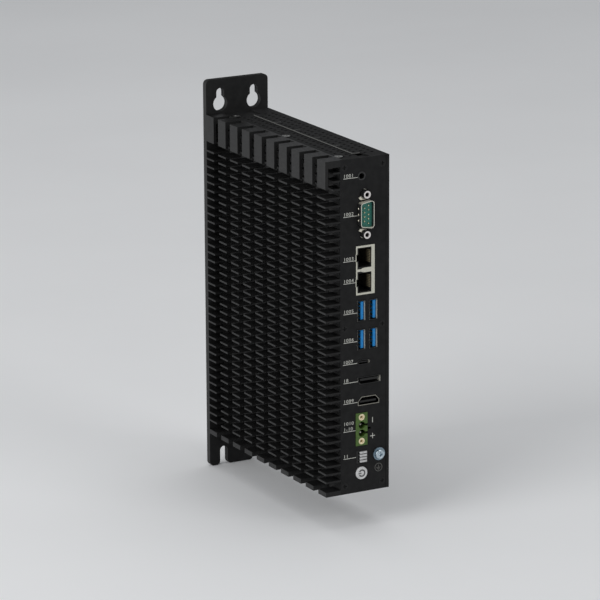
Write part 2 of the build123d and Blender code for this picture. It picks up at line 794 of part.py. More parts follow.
# Four flat data ports in two rows: metal sleeves, blue tongues set off the middle, gilt contacts.
tongue_thickness = 1.84
tongue_length = 11.2
tongue_set_back = 0.8
tongue_offset = 0.65
data_root = 12.0
tongue_root = 3.0
data_contact_count = 4
data_contact_pitch = 2.5
data_contact_width = 1.0
data_contact_sheet = 0.15


def data_row(row_name):
    """Sleeves, tongues and contacts of one row of two data ports."""
    places = [(data_left_x + side * data_spacing, port_z[row_name]) for side in (0, 1)]
    with BuildPart() as sleeves:
        with BuildSketch(front_plane(port_face_y)):
            with Locations(*places):
                Rectangle(data_width, data_length)
        extrude(amount=-data_root)
        with BuildSketch(front_plane(port_face_y)):
            with Locations(*places):
                Rectangle(data_width - 2 * shell_sheet, data_length - 2 * shell_sheet)
        extrude(amount=-data_root, mode=Mode.SUBTRACT)
        with BuildSketch(front_plane(port_face_y + data_root)):
            with Locations((data_left_x + data_spacing / 2, port_z[row_name])):
                Rectangle(data_spacing + data_width, data_length)
        extrude(amount=-(port_reach - data_root))
    with BuildPart() as tongues:
        with BuildSketch(front_plane(port_face_y + tongue_set_back)):
            with Locations(*[(x + tongue_offset, z) for x, z in places]):
                Rectangle(tongue_thickness, tongue_length)
        extrude(amount=-(data_root - tongue_set_back))
        with BuildSketch(front_plane(port_face_y + data_root - tongue_root)):
            with Locations(*places):
                Rectangle(data_width - 2 * shell_sheet, data_length - 2 * shell_sheet)
        extrude(amount=-tongue_root)
    with BuildPart() as contacts:
        contact_face_x = tongue_offset - tongue_thickness / 2 - data_contact_sheet / 2
        with BuildSketch(front_plane(port_face_y + 2 * tongue_set_back)):
            for x, z in places:
                for contact in range(data_contact_count):
                    rise = (contact - (data_contact_count - 1) / 2) * data_contact_pitch
                    with Locations((x + contact_face_x, z + rise)):
                        Rectangle(data_contact_sheet, data_contact_width)
        extrude(amount=-(data_root - tongue_root - 2 * tongue_set_back))
    return sleeves, tongues, contacts


for row_name in data_rows:
    sleeves, tongues, contacts = data_row(row_name)
    save(sleeves, f"{row_name}_sleeves")
    save(tongues, f"{row_name}_tongues")
    save(contacts, f"{row_name}_contacts")

# Small reversible port.
reversible_root = 6.5
reversible_tongue_width = 6.6
reversible_tongue_thickness = 0.7
reversible_inner_width = reversible_width - 2 * shell_sheet
reversible_inner_height = reversible_height - 2 * shell_sheet
with BuildPart() as reversible_port_shell:
    with BuildSketch(front_plane(port_face_y)):
        with Locations((reversible_x, port_z["reversible"])):
            SlotOverall(reversible_width, reversible_height)
            SlotOverall(reversible_inner_width, reversible_inner_height, mode=Mode.SUBTRACT)
    extrude(amount=-port_reach)
save(reversible_port_shell, "reversible_port_shell")
with BuildPart() as reversible_port_tongue:
    with BuildSketch(front_plane(port_face_y + reversible_root)):
        with Locations((reversible_x, port_z["reversible"])):
            SlotOverall(reversible_inner_width, reversible_inner_height)
    extrude(amount=-(port_reach - reversible_root))
    with BuildSketch(front_plane(port_face_y + tongue_set_back)):
        with Locations((reversible_x, port_z["reversible"])):
            Rectangle(reversible_tongue_width, reversible_tongue_thickness)
    extrude(amount=-(reversible_root - tongue_set_back))
save(reversible_port_tongue, "reversible_port_tongue")

# Wide display port with one cut corner.
display_root = 7.0
display_tongue_width = 12.7
display_tongue_thickness = 1.4
display_tongue_rise = 0.4
display_outer = display_face(0)
display_inner = display_face(-shell_sheet)
with BuildPart() as display_port_shell:
    with BuildSketch(front_plane(port_face_y)):
        with Locations((display_x, port_z["display"])):
            add(display_outer)
            add(display_inner, mode=Mode.SUBTRACT)
    extrude(amount=-port_reach)
save(display_port_shell, "display_port_shell")
with BuildPart() as display_port_tongue:
    with BuildSketch(front_plane(port_face_y + display_root)):
        with Locations((display_x, port_z["display"])):
            add(display_inner)
    extrude(amount=-(port_reach - display_root))
    with BuildSketch(front_plane(port_face_y + tongue_set_back)):
        with Locations((display_x, port_z["display"] + display_tongue_rise)):
            Rectangle(display_tongue_width, display_tongue_thickness)
    extrude(amount=-(display_root - tongue_set_back))
save(display_port_tongue, "display_port_tongue")

# Video port with its narrow side up.
video_root = 7.0
video_tongue_width = 11.4
video_tongue_thickness = 1.2
video_tongue_drop = 0.5
video_outer = video_face(0)
video_inner = video_face(-shell_sheet)
with BuildPart() as video_port_shell:
    with BuildSketch(front_plane(port_face_y)):
        with Locations((video_x, port_z["video"])):
            add(video_outer)
            add(video_inner, mode=Mode.SUBTRACT)
    extrude(amount=-port_reach)
save(video_port_shell, "video_port_shell")
with BuildPart() as video_port_tongue:
    with BuildSketch(front_plane(port_face_y + video_root)):
        with Locations((video_x, port_z["video"])):
            add(video_inner)
    extrude(amount=-(port_reach - video_root))
    with BuildSketch(front_plane(port_face_y + tongue_set_back)):
        with Locations((video_x, port_z["video"] - video_tongue_drop)):
            Rectangle(video_tongue_width, video_tongue_thickness)
    extrude(amount=-(video_root - tongue_set_back))
save(video_port_tongue, "video_port_tongue")

# Two-pole power header: green plastic block, two pins in round pockets and two threaded brass bushes.
power_pitch = 5.08
power_pocket_radius = 2.3
power_pocket_depth = 8.5
power_key = 1.5
power_bush_radius = 2.05
power_bush_bore = 1.05
power_bush_length = 8.0
power_bush_relief = 1.0
power_pin_size = 1.0
power_pin_set_back = 1.9
power_pocket_x = power_x + 0.2
power_pins_at = [(power_pocket_x, port_z["power"] + side * power_pitch / 2) for side in (1, -1)]
power_bushes_at = [(power_x, port_z["power"] + side * power_pitch * 1.5) for side in (1, -1)]
with BuildPart() as power_header:
    with BuildSketch(front_plane(port_face_y)):
        with Locations((power_x, port_z["power"])):
            Rectangle(power_width, power_length)
    extrude(amount=-port_reach)
    with BuildSketch(front_plane(port_face_y)):
        with Locations(*power_pins_at):
            Circle(power_pocket_radius)
        with Locations(*[((x + power_x + power_width / 2) / 2, z) for x, z in power_pins_at]):
            Rectangle(power_x + power_width / 2 - power_pocket_x, power_key)
    extrude(amount=-power_pocket_depth, mode=Mode.SUBTRACT)
    with BuildSketch(front_plane(port_face_y)):
        with Locations(*power_bushes_at):
            Circle(power_bush_radius)
    extrude(amount=-power_bush_length, mode=Mode.SUBTRACT)
    with BuildSketch(front_plane(port_face_y)):
        with Locations(*power_bushes_at):
            Circle(power_bush_bore + screw_gap)
    extrude(amount=-(power_bush_length + power_bush_relief), mode=Mode.SUBTRACT)
    with BuildSketch(front_plane(port_face_y)):
        with Locations(*power_pins_at):
            Rectangle(power_pin_size, power_pin_size)
    extrude(amount=-port_reach, mode=Mode.SUBTRACT)
save(power_header, "power_header")
with BuildPart() as power_pins:
    with BuildSketch(front_plane(front_y + power_pin_set_back)):
        with Locations(*power_pins_at):
            Rectangle(power_pin_size, power_pin_size)
    extrude(amount=-(board_depth - power_pin_set_back))
save(power_pins, "power_pins")
with BuildPart() as power_bushes:
    with BuildSketch(front_plane(port_face_y)):
        with Locations(*power_bushes_at):
            Circle(power_bush_radius)
            Circle(power_bush_bore, mode=Mode.SUBTRACT)
    extrude(amount=-power_bush_length)
save(power_bushes, "power_bushes")

# Four-way switch block: each white lever slides across in a slot of its own.
lever_count = 4
lever_pitch = 1.85
lever_height = 1.25
lever_length = 4.8
lever_travel = 1.1
lever_gap = 0.12
lever_stand = 0.6
lever_depth = 1.6
slot_offset = 0.2
slot_x = dip_x + slot_offset
lever_x = slot_x + lever_travel / 2
lever_rows = [port_z["dip"] + (1.5 - lever) * lever_pitch for lever in range(lever_count)]
with BuildPart() as switch_block:
    with BuildSketch(front_plane(front_y)):
        with Locations((dip_x, port_z["dip"])):
            Rectangle(dip_width, dip_length)
    extrude(amount=-board_depth)
    with BuildSketch(front_plane(front_y)):
        with Locations(*[(slot_x, row_z) for row_z in lever_rows]):
            Rectangle(lever_length + lever_travel + 2 * lever_gap, lever_height + 2 * lever_gap)
    extrude(amount=-(lever_depth + lever_gap), mode=Mode.SUBTRACT)
save(switch_block, "switch_block")
for lever, row_z in enumerate(lever_rows, start=1):
    with BuildPart() as switch_lever:
        with BuildSketch(front_plane(front_y + lever_depth)):
            with Locations((lever_x, row_z)):
                Rectangle(lever_length, lever_height)
        extrude(amount=lever_depth + lever_stand)
        chamfer(switch_lever.faces().sort_by(Axis.Y)[0].edges().filter_by(Axis.Z), lever_stand / 2)
    save(switch_lever, f"switch_lever_{lever}")

# Power button: round cap held behind the panel by its flange, on the plunger of a push switch.
button_travel = 0.8
button_stand = 0.7
button_flange_radius = 4.9
button_flange = 0.9
button_stem_radius = 1.5
button_stem_gap = 0.3
button_edge = 0.4
button_flange_gap = 0.1
button_stem_y = front_y + 11.0
push_switch_size = 6.5
push_switch_y = front_y + 8.0
cap_back_y = panel_back_y + button_flange_gap + button_flange
with BuildPart() as power_button:
    with BuildSketch(front_plane(front_y - button_stand)):
        with Locations((button_x, port_z["button"])):
            Circle(button_radius)
    extrude(amount=-(cap_back_y - front_y + button_stand))
    chamfer(power_button.faces().sort_by(Axis.Y)[0].edges(), button_edge)
    with BuildSketch(front_plane(cap_back_y)):
        with Locations((button_x, port_z["button"])):
            Circle(button_flange_radius)
    extrude(amount=button_flange)
    with BuildSketch(front_plane(cap_back_y)):
        with Locations((button_x, port_z["button"])):
            screw_outline(button_stem_radius)
    extrude(amount=-(button_stem_y - cap_back_y))
save(power_button, "power_button")
with BuildPart() as push_switch:
    with BuildSketch(front_plane(push_switch_y)):
        with Locations((button_x, port_z["button"])):
            Rectangle(push_switch_size, push_switch_size)
    extrude(amount=-(port_board_y - push_switch_y))
    with BuildSketch(front_plane(push_switch_y)):
        with Locations((button_x, port_z["button"])):
            screw_outline(button_stem_radius + button_stem_gap)
    extrude(amount=-(button_stem_y - push_switch_y + button_travel + button_stem_gap), mode=Mode.SUBTRACT)
save(push_switch, "push_switch")

# Earth terminal: pan head screw, flat washer and a nut behind the panel.
washer_radius = 4.05
washer_thickness = 0.9
ground_head_radius = 3.1
ground_head_height = 2.0
ground_head_edge = 0.7
ground_length = 9.0
with BuildPart() as ground_washer:
    with BuildSketch(front_plane(front_y)):
        with Locations((ground_x, ground_z)):
            Circle(washer_radius)
            screw_outline(ground_radius + screw_gap, Mode.SUBTRACT)
    extrude(amount=washer_thickness)
save(ground_washer, "ground_washer")
with BuildPart() as ground_screw:
    with BuildSketch(front_plane(front_y - washer_thickness)):
        with Locations((ground_x, ground_z)):
            Circle(ground_head_radius)
    extrude(amount=ground_head_height)
    chamfer(ground_screw.faces().sort_by(Axis.Y)[0].edges(), ground_head_edge)
    with BuildSketch(front_plane(front_y - washer_thickness)):
        with Locations((ground_x, ground_z)):
            screw_outline(ground_radius)
    extrude(amount=-ground_length)
save(ground_screw, "ground_screw")
with BuildPart() as ground_nut:
    with BuildSketch(front_plane(panel_back_y)):
        with Locations((ground_x, ground_z)):
            RegularPolygon(nut_flats / 2, 6, major_radius=False)
            screw_outline(ground_radius + screw_gap, Mode.SUBTRACT)
    extrude(amount=-nut_height)
save(ground_nut, "ground_nut")

# Main board: stands parallel to the side cover on posts from the heat sink base.
main_board_back_gap = 3.0
main_board_x = chassis_right_x - main_board_back_gap - board_thickness
main_board_front_gap = 3.0
main_board_rear_gap = 6.0
main_board_front_y = port_board_y + board_thickness + main_board_front_gap
main_board_rear_y = rear_y - sheet_thickness - main_board_rear_gap
board_top_z = top_z - wall_drop - main_board_rear_gap
board_bottom_z = -board_top_z
main_board_height = board_top_z - board_bottom_z
post_inset = 6.0
post_flats = 5.0
post_screw_radius = 1.5
post_screw_head = 2.6
post_screw_head_height = 1.6
post_screw_length = 6.0
post_rows = [main_board_front_y + post_inset, main_board_rear_y - post_inset]
post_levels = [-(main_board_height / 2 - post_inset), 0, main_board_height / 2 - post_inset]
post_places = [(row_y, row_z) for row_y in post_rows for row_z in post_levels]
with BuildPart() as main_board:
    with BuildSketch(Plane.YZ.offset(main_board_x)):
        with Locations(((main_board_front_y + main_board_rear_y) / 2, 0)):
            Rectangle(main_board_rear_y - main_board_front_y, main_board_height)
        with Locations(*post_places):
            screw_outline(post_screw_radius + screw_gap, Mode.SUBTRACT)
    extrude(amount=board_thickness)
save(main_board, "main_board")
with BuildPart() as board_posts:
    with BuildSketch(Plane.YZ.offset(base_inner_x)):
        with Locations(*post_places):
            RegularPolygon(post_flats / 2, 6, major_radius=False)
    extrude(amount=main_board_x - base_inner_x)
    with BuildSketch(Plane.YZ.offset(main_board_x)):
        with Locations(*post_places):
            screw_outline(post_screw_radius + screw_gap)
    extrude(amount=-post_screw_length, mode=Mode.SUBTRACT)
save(board_posts, "board_posts")
with BuildPart() as board_screws:
    with BuildSketch(Plane.YZ.offset(main_board_x + board_thickness)):
        with Locations(*post_places):
            screw_outline(post_screw_head)
    extrude(amount=post_screw_head_height)
    with BuildSketch(Plane.YZ.offset(main_board_x + board_thickness)):
        with Locations(*post_places):
            screw_outline(post_screw_radius)
    extrude(amount=-post_screw_length)
save(board_screws, "board_screws")

# Board link: the plug that joins the port board to the main board.
link_length = 60.0
link_reach = 5.0
link_depth = 9.0
link_z = (post_levels[1] + post_levels[2]) / 2
with BuildPart() as board_link:
    with BuildSketch(front_plane(port_board_y + board_thickness)):
        with Locations((main_board_x - link_reach / 2, link_z)):
            Rectangle(link_reach, link_length)
    extrude(amount=-link_depth)
save(board_link, "board_link")

# Processor with its pad and the heat block that carries its heat to the fins.
processor_size = 38.0
processor_thickness = 2.4
processor_base = 1.2
processor_lid = 32.0
pad_thickness = 0.5
heat_block_size = 42.0
core_set_back = 7.5
core_y = (main_board_front_y + main_board_rear_y) / 2 + core_set_back
core_z = board_top_z - 50.0
with BuildPart() as processor:
    with BuildSketch(Plane.YZ.offset(main_board_x)):
        with Locations((core_y, core_z)):
            Rectangle(processor_size, processor_size)
    extrude(amount=-processor_base)
    with BuildSketch(Plane.YZ.offset(main_board_x - processor_base)):
        with Locations((core_y, core_z)):
            Rectangle(processor_lid, processor_lid)
    extrude(amount=-(processor_thickness - processor_base))
save(processor, "processor")
with BuildPart() as thermal_pad:
    with BuildSketch(Plane.YZ.offset(main_board_x - processor_thickness)):
        with Locations((core_y, core_z)):
            Rectangle(processor_lid, processor_lid)
    extrude(amount=-pad_thickness)
save(thermal_pad, "thermal_pad")
with BuildPart() as heat_block:
    with BuildSketch(Plane.YZ.offset(base_inner_x)):
        with Locations((core_y, core_z)):
            Rectangle(heat_block_size, heat_block_size)
    extrude(amount=main_board_x - processor_thickness - pad_thickness - base_inner_x)
save(heat_block, "heat_block")

# Memory module in its socket.
module_length = 67.6
module_width = 30.0
module_thickness = 1.2
module_y = main_board_front_y + 30.0
module_z = board_bottom_z + 52.2
socket_height = 4.0
socket_width = 5.0
socket_end = 2.0
socket_slot = 3.0
module_tuck = 2.5
module_lap = 1.4
module_x = main_board_x - socket_height + module_lap
socket_y = module_y - module_width / 2
with BuildPart() as memory_socket:
    with BuildSketch(Plane.YZ.offset(main_board_x)):
        with Locations((socket_y - socket_width / 2, module_z)):
            Rectangle(socket_width, module_length + 2 * socket_end)
    extrude(amount=-socket_height)
    with BuildSketch(front_plane(socket_y)):
        with Locations((module_x, module_z)):
            Rectangle(module_thickness, module_length)
    extrude(amount=socket_slot, mode=Mode.SUBTRACT)
save(memory_socket, "memory_socket")
with BuildPart() as memory_module:
    with BuildSketch(Plane.YZ.offset(module_x - module_thickness / 2)):
        with Locations((module_y - module_tuck / 2, module_z)):
            Rectangle(module_width + module_tuck, module_length)
    extrude(amount=module_thickness)
save(memory_module, "memory_module")

# Storage card on its own small socket.
card_length = 80.0
card_width = 22.0
card_y = main_board_rear_y - 21.0
card_z = board_bottom_z + 53.2
card_end_z = card_z + card_length / 2
with BuildPart() as storage_socket:
    with BuildSketch(Plane.YZ.offset(main_board_x)):
        with Locations((card_y, card_end_z + socket_width / 2)):
            Rectangle(card_width, socket_width)
    extrude(amount=-socket_height)
    with BuildSketch(Plane.XY.offset(card_end_z)):
        with Locations((module_x, card_y)):
            Rectangle(module_thickness, card_width)
    extrude(amount=socket_slot, mode=Mode.SUBTRACT)
save(storage_socket, "storage_socket")
with BuildPart() as storage_card:
    with BuildSketch(Plane.YZ.offset(module_x - module_thickness / 2)):
        with Locations((card_y, card_z + module_tuck / 2)):
            Rectangle(card_width, card_length + module_tuck)
    extrude(amount=module_thickness)
save(storage_card, "storage_card")

# Clock battery in a holder.
cell_radius = 10.0
cell_thickness = 3.2
cell_sides = 24
holder_wall = 1.8
holder_floor = 1.0
cell_y = main_board_front_y + 22.0
cell_z = board_top_z - 37.2
with BuildPart() as battery_holder:
    with BuildSketch(Plane.YZ.offset(main_board_x)):
        with Locations((cell_y, cell_z)):
            RegularPolygon(cell_radius + holder_wall, cell_sides)
    extrude(amount=-(cell_thickness + holder_floor))
    with BuildSketch(Plane.YZ.offset(main_board_x - cell_thickness - holder_floor)):
        with Locations((cell_y, cell_z)):
            RegularPolygon(cell_radius + screw_gap, cell_sides)
    extrude(amount=cell_thickness, mode=Mode.SUBTRACT)
save(battery_holder, "battery_holder")
with BuildPart() as clock_battery:
    with BuildSketch(Plane.YZ.offset(main_board_x - holder_floor)):
        with Locations((cell_y, cell_z)):
            RegularPolygon(cell_radius, cell_sides)
    extrude(amount=-cell_thickness)
save(clock_battery, "clock_battery")

# Power coils and capacitors of the supply stage.
coil_size = 12.0
coil_space = 3.0
coil_height = 7.0
coil_z = board_top_z - 19.2
coil_y = main_board_rear_y - 28.0
with BuildPart() as power_coils:
    with BuildSketch(Plane.YZ.offset(main_board_x)):
        with Locations(*[(coil_y - row * (coil_size + coil_space), coil_z) for row in range(3)]):
            Rectangle(coil_size, coil_size)
    extrude(amount=-coil_height)
save(power_coils, "power_coils")
capacitor_radius = 4.0
capacitor_height = 10.0
capacitor_pitch = 10.0
capacitor_inset = 12.0
with BuildPart() as capacitors:
    with BuildSketch(Plane.YZ.offset(main_board_x)):
        capacitor_y = main_board_rear_y - capacitor_inset
        first_z = coil_z - capacitor_inset
        with Locations(*[(capacitor_y, first_z - row * capacitor_pitch) for row in range(4)]):
            RegularPolygon(capacitor_radius, screw_sides)
    extrude(amount=-capacitor_height)
save(capacitors, "capacitors")
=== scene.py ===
from math import cos, pi, radians, sin

import bmesh
import bpy
import numpy as np
from mathutils import Matrix, Vector


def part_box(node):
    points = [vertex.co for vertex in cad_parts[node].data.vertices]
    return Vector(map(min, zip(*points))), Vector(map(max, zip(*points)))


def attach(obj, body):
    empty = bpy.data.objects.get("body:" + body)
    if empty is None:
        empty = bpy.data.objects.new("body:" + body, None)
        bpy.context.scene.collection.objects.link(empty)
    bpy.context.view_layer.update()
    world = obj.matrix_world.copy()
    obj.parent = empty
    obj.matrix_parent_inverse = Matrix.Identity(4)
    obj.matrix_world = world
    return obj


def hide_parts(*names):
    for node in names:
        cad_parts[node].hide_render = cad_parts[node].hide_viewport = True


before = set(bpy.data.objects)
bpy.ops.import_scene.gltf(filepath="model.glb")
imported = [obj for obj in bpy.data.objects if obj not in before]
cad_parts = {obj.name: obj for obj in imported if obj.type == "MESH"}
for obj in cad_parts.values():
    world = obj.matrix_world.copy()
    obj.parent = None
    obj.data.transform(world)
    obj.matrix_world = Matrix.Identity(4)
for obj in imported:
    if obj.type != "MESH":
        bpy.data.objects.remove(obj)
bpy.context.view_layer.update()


# Room: a pale matt floor just under the feet of the mounting plate, three soft lamps, and the camera,
# which looks down on the port side and the fins from more than two metres away.
def blank_finish(name):
    """A finish with its surface shader, and the object coordinates that its patterns follow."""
    material = bpy.data.materials.new(name)
    material.use_nodes = True
    tree = material.node_tree
    tree.nodes.clear()
    shader = tree.nodes.new("ShaderNodeBsdfPrincipled")
    output = tree.nodes.new("ShaderNodeOutputMaterial")
    tree.links.new(shader.outputs["BSDF"], output.inputs["Surface"])
    place = tree.nodes.new("ShaderNodeTexCoord").outputs["Object"]
    return material, tree, shader, place


def grain(tree, place, scale, stretch=(1, 1, 1), detail=4.0):
    """Noise over the object coordinates; a small stretch on an axis draws the grain out along it."""
    mapping = tree.nodes.new("ShaderNodeMapping")
    mapping.inputs["Scale"].default_value = stretch
    noise = tree.nodes.new("ShaderNodeTexNoise")
    noise.inputs["Scale"].default_value = scale
    noise.inputs["Detail"].default_value = detail
    tree.links.new(place, mapping.inputs["Vector"])
    tree.links.new(mapping.outputs["Vector"], noise.inputs["Vector"])
    return noise.outputs[0]


def colour_steps(tree, shader, value, steps):
    """Base colour read off a ramp: each step gives a place on the ramp and the colour there."""
    ramp = tree.nodes.new("ShaderNodeValToRGB")
    for element, (position, colour) in zip(ramp.color_ramp.elements, (steps[0], steps[-1])):
        element.position = position
        element.color = (*colour, 1)
    for position, colour in steps[1:-1]:
        ramp.color_ramp.elements.new(position).color = (*colour, 1)
    tree.links.new(value, ramp.inputs["Fac"])
    tree.links.new(ramp.outputs["Color"], shader.inputs["Base Color"])


def tint(tree, shader, value, low, high):
    """Base colour that runs from low to high over the middle of the grain."""
    colour_steps(tree, shader, value, [(0.3, low), (0.7, high)])


def sheen_span(tree, shader, value, low, high):
    """Roughness that runs from low to high over the middle of the grain."""
    span = tree.nodes.new("ShaderNodeMapRange")
    span.inputs["From Min"].default_value = 0.3
    span.inputs["From Max"].default_value = 0.7
    span.inputs["To Min"].default_value = low
    span.inputs["To Max"].default_value = high
    tree.links.new(value, span.inputs["Value"])
    tree.links.new(span.outputs["Result"], shader.inputs["Roughness"])


def relief(tree, shader, value, depth):
    """Bump as deep, in metres, as the grain is high."""
    bump = tree.nodes.new("ShaderNodeBump")
    bump.inputs["Distance"].default_value = depth
    tree.links.new(value, bump.inputs["Height"])
    tree.links.new(bump.outputs["Normal"], shader.inputs["Normal"])


def grid_faces(rows, columns, wrap=False):
    """Quads between the neighbouring points of a grid, where a point's number is row * columns +
    column. A wrapped grid joins its last column to its first."""
    row = np.arange(rows - 1)[:, None]
    column = np.arange(columns if wrap else columns - 1)[None, :]
    after = (column + 1) % columns
    near, far = row * columns, (row + 1) * columns
    corners = [near + column, near + after, far + after, far + column]
    return np.stack(corners, -1).reshape(-1, 4)


floor_gap, floor_half, floor_steps = 0.0002, 6.0, 13
floor_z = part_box("mounting_plate")[0].z - floor_gap
floor_reach = np.linspace(-floor_half, floor_half, floor_steps)
floor_x, floor_y = np.meshgrid(floor_reach, floor_reach)
floor_points = np.stack([floor_x, floor_y, np.full_like(floor_x, floor_z)], -1).reshape(-1, 3)
floor_mesh = bpy.data.meshes.new("floor")
floor_mesh.from_pydata(floor_points.tolist(), [], grid_faces(floor_steps, floor_steps).tolist())
floor = bpy.data.objects.new("floor", floor_mesh)
bpy.context.scene.collection.objects.link(floor)
floor_finish, tree, shader, place = blank_finish("pale_floor")
tint(tree, shader, grain(tree, place, 3.0), (0.88, 0.885, 0.89), (0.92, 0.925, 0.93))
shader.inputs["Roughness"].default_value = 0.9
shader.inputs["Specular IOR Level"].default_value = 0.1
floor_mesh.materials.append(floor_finish)

camera_place = Vector((-1.08352, -2.06021, 0.60686))
camera_azimuth = radians(-28.851)
camera_height = radians(15.096)
camera_roll = radians(-0.249)
back = Vector((
    cos(camera_height) * sin(camera_azimuth),
    -cos(camera_height) * cos(camera_azimuth),
    sin(camera_height),
))
level = Vector((0, 0, 1)).cross(back).normalized()
upward = back.cross(level)
side = level * cos(camera_roll) + upward * sin(camera_roll)
upright = upward * cos(camera_roll) - level * sin(camera_roll)
camera_data = bpy.data.cameras.new("camera")
camera_data.lens = 224.07
camera_data.sensor_width = 36.0
camera_data.shift_x = -0.0098
camera_data.shift_y = 0.0021
camera_data.clip_end = 50.0
camera = bpy.data.objects.new("camera", camera_data)
camera_turn = Matrix((side, upright, back)).transposed().to_4x4()
camera.matrix_world = Matrix.Translation(camera_place) @ camera_turn
bpy.context.scene.collection.objects.link(camera)
bpy.context.scene.camera = camera
bpy.context.scene.view_settings.view_transform = "Standard"

world = bpy.data.worlds.new("studio")
bpy.context.scene.world = world
world.use_nodes = True
world.node_tree.nodes["Background"].inputs["Color"].default_value = (0.95, 0.97, 1.0, 1)
world.node_tree.nodes["Background"].inputs["Strength"].default_value = 0.36


def soft_lamp(name, place, size, watts):
    """Square lamp that faces the middle of the case: its Z axis is the line from there to the lamp."""
    data = bpy.data.lights.new(name, "AREA")
    data.size = size
    data.energy = watts
    lamp = bpy.data.objects.new(name, data)
    middle = Vector((0, -0.08, 0))
    aim = (Vector(place) - middle).to_track_quat("Z", "Y")
    lamp.matrix_world = Matrix.Translation(Vector(place)) @ aim.to_matrix().to_4x4()
    bpy.context.scene.collection.objects.link(lamp)


soft_lamp("overhead", (0.2, 0.3, 2.2), size=2.2, watts=10.5)
soft_lamp("fin_side", (-1.9, -0.5, 0.9), size=1.4, watts=21)
soft_lamp("port_side", (0.9, -2.2, 1.2), size=1.2, watts=10)


# Heat sink: one extrusion in black anodised aluminium, its fins cut into columns by nine saw cuts.
# The die leaves fine raised lines along the fins. The tips of the fins, which look to the fin side,
# are painted paler than the faces that look up, as painted light from that side.
def dress(material, *names):
    """Give every slot of the named solids a finish."""
    for name in names:
        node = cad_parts[name]
        if not node.material_slots:
            node.data.materials.append(material)
        for slot in node.material_slots:
            slot.material = material


def facing(tree, place, way, scale):
    """How far a face looks along the way, as their dot product, plus a fifth of the grain."""
    look = tree.nodes.new("ShaderNodeVectorMath")
    look.operation = "DOT_PRODUCT"
    look.inputs[1].default_value = way
    tree.links.new(tree.nodes.new("ShaderNodeNewGeometry").outputs["Normal"], look.inputs[0])
    # Painted light: the facing part of this value makes a face lighter by the way it looks.
    facing_plus_grain = tree.nodes.new("ShaderNodeMath")
    facing_plus_grain.operation = "MULTIPLY_ADD"
    facing_plus_grain.inputs[1].default_value = 0.2
    tree.links.new(grain(tree, place, scale), facing_plus_grain.inputs[0])
    tree.links.new(look.outputs["Value"], facing_plus_grain.inputs[2])
    return facing_plus_grain.outputs["Value"]


def grey_steps(tree, shader, value, steps):
    """Base colour in greys: each step gives a place on the ramp and the grey there."""
    colour_steps(tree, shader, value, [(position, (grey, grey, grey)) for position, grey in steps])


black_anodised, tree, shader, place = blank_finish("black_anodised")
die_lines = grain(tree, place, 2400, (1, 0.015, 1), 3.0)
# Painted light: faces that look to the fin side are painted paler, faces that look up darker.
fin_side_light = facing(tree, place, (-0.4, 0, -0.06), 1200)
fin_greys = [(0.0, 0.010), (0.07, 0.0145), (0.10, 0.0175), (0.15, 0.021), (0.45, 0.024), (0.55, 0.034)]
grey_steps(tree, shader, fin_side_light, fin_greys)
sheen_span(tree, shader, grain(tree, place, 900, (1, 0.2, 1)), 0.36, 0.5)
relief(tree, shader, die_lines, 0.00003)
shader.inputs["Specular IOR Level"].default_value = 0.14
dress(black_anodised, "heat_sink")


# Sheet metal: chassis, side cover and port panel are folded steel under a fine black powder coat.
# The mounting plate is thicker; its cut edges that look to the fin side are painted grey as painted light.
def powder_coat(name):
    """Fine powder coat without its colour: one orange peel gives both the roughness and the relief."""
    material, tree, shader, place = blank_finish(name)
    orange_peel = grain(tree, place, 1800, detail=2.0)
    sheen_span(tree, shader, orange_peel, 0.6, 0.74)
    relief(tree, shader, orange_peel, 0.00004)
    shader.inputs["Specular IOR Level"].default_value = 0.04
    return material, tree, shader, place


powder_black, tree, shader, place = powder_coat("powder_black")
tint(tree, shader, grain(tree, place, 220), (0.0165, 0.0165, 0.0167), (0.0225, 0.0225, 0.0227))
dress(powder_black, "chassis", "side_cover", "front_panel")

side_lit_plate_black, tree, shader, place = powder_coat("side_lit_plate_black")
# Painted light: the faces that look to the fin side, its cut edges most, are painted grey.
plate_side_light = facing(tree, place, (-0.8, 0, 0), 220)
plate_greys = [(0.06, 0.0185), (0.14, 0.0250), (0.6, 0.028), (0.95, 0.057)]
grey_steps(tree, shader, plate_side_light, plate_greys)
dress(side_lit_plate_black, "mounting_plate")


# Cut edges: grey strips along the flange of the side cover and the rear sides of its slits are a
# painted highlight, the light that these edges catch.
def rim_of(grid):
    """Points along the border of a grid, in order round it."""
    return np.concatenate([grid[0, :-1], grid[:-1, -1], grid[-1, :0:-1], grid[:0:-1, 0]])


def slab(under, lift):
    """Closed slab on a grid of points: the grid, the grid plus the lift, and walls round the border.
    The lift is one step for the whole grid, or one for each of its points."""
    face = under + np.array(lift)
    return [(face, False), (under, False), (np.stack([rim_of(face), rim_of(under)]), True)]


def build_piece(name, grids, material, body, sharp=30):
    """One mesh from several grids of points, joined where they meet, with its faces turned outwards."""
    points, faces, start = [], [], 0
    for grid, wrap in grids:
        rows, columns = grid.shape[:2]
        points.append(grid.reshape(-1, 3))
        faces.append(grid_faces(rows, columns, wrap) + start)
        start += rows * columns
    mesh = bpy.data.meshes.new(name)
    mesh.from_pydata(np.concatenate(points).tolist(), [], np.concatenate(faces).tolist())
    shape = bmesh.new()
    shape.from_mesh(mesh)
    bmesh.ops.remove_doubles(shape, verts=shape.verts, dist=2e-7)
    bmesh.ops.recalc_face_normals(shape, faces=shape.faces)
    shape.to_mesh(mesh)
    shape.free()
    mesh.shade_smooth()
    mesh.set_sharp_from_angle(angle=radians(sharp))
    mesh.materials.append(material)
    piece = bpy.data.objects.new(name, mesh)
    bpy.context.scene.collection.objects.link(piece)
    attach(piece, body)
    return piece


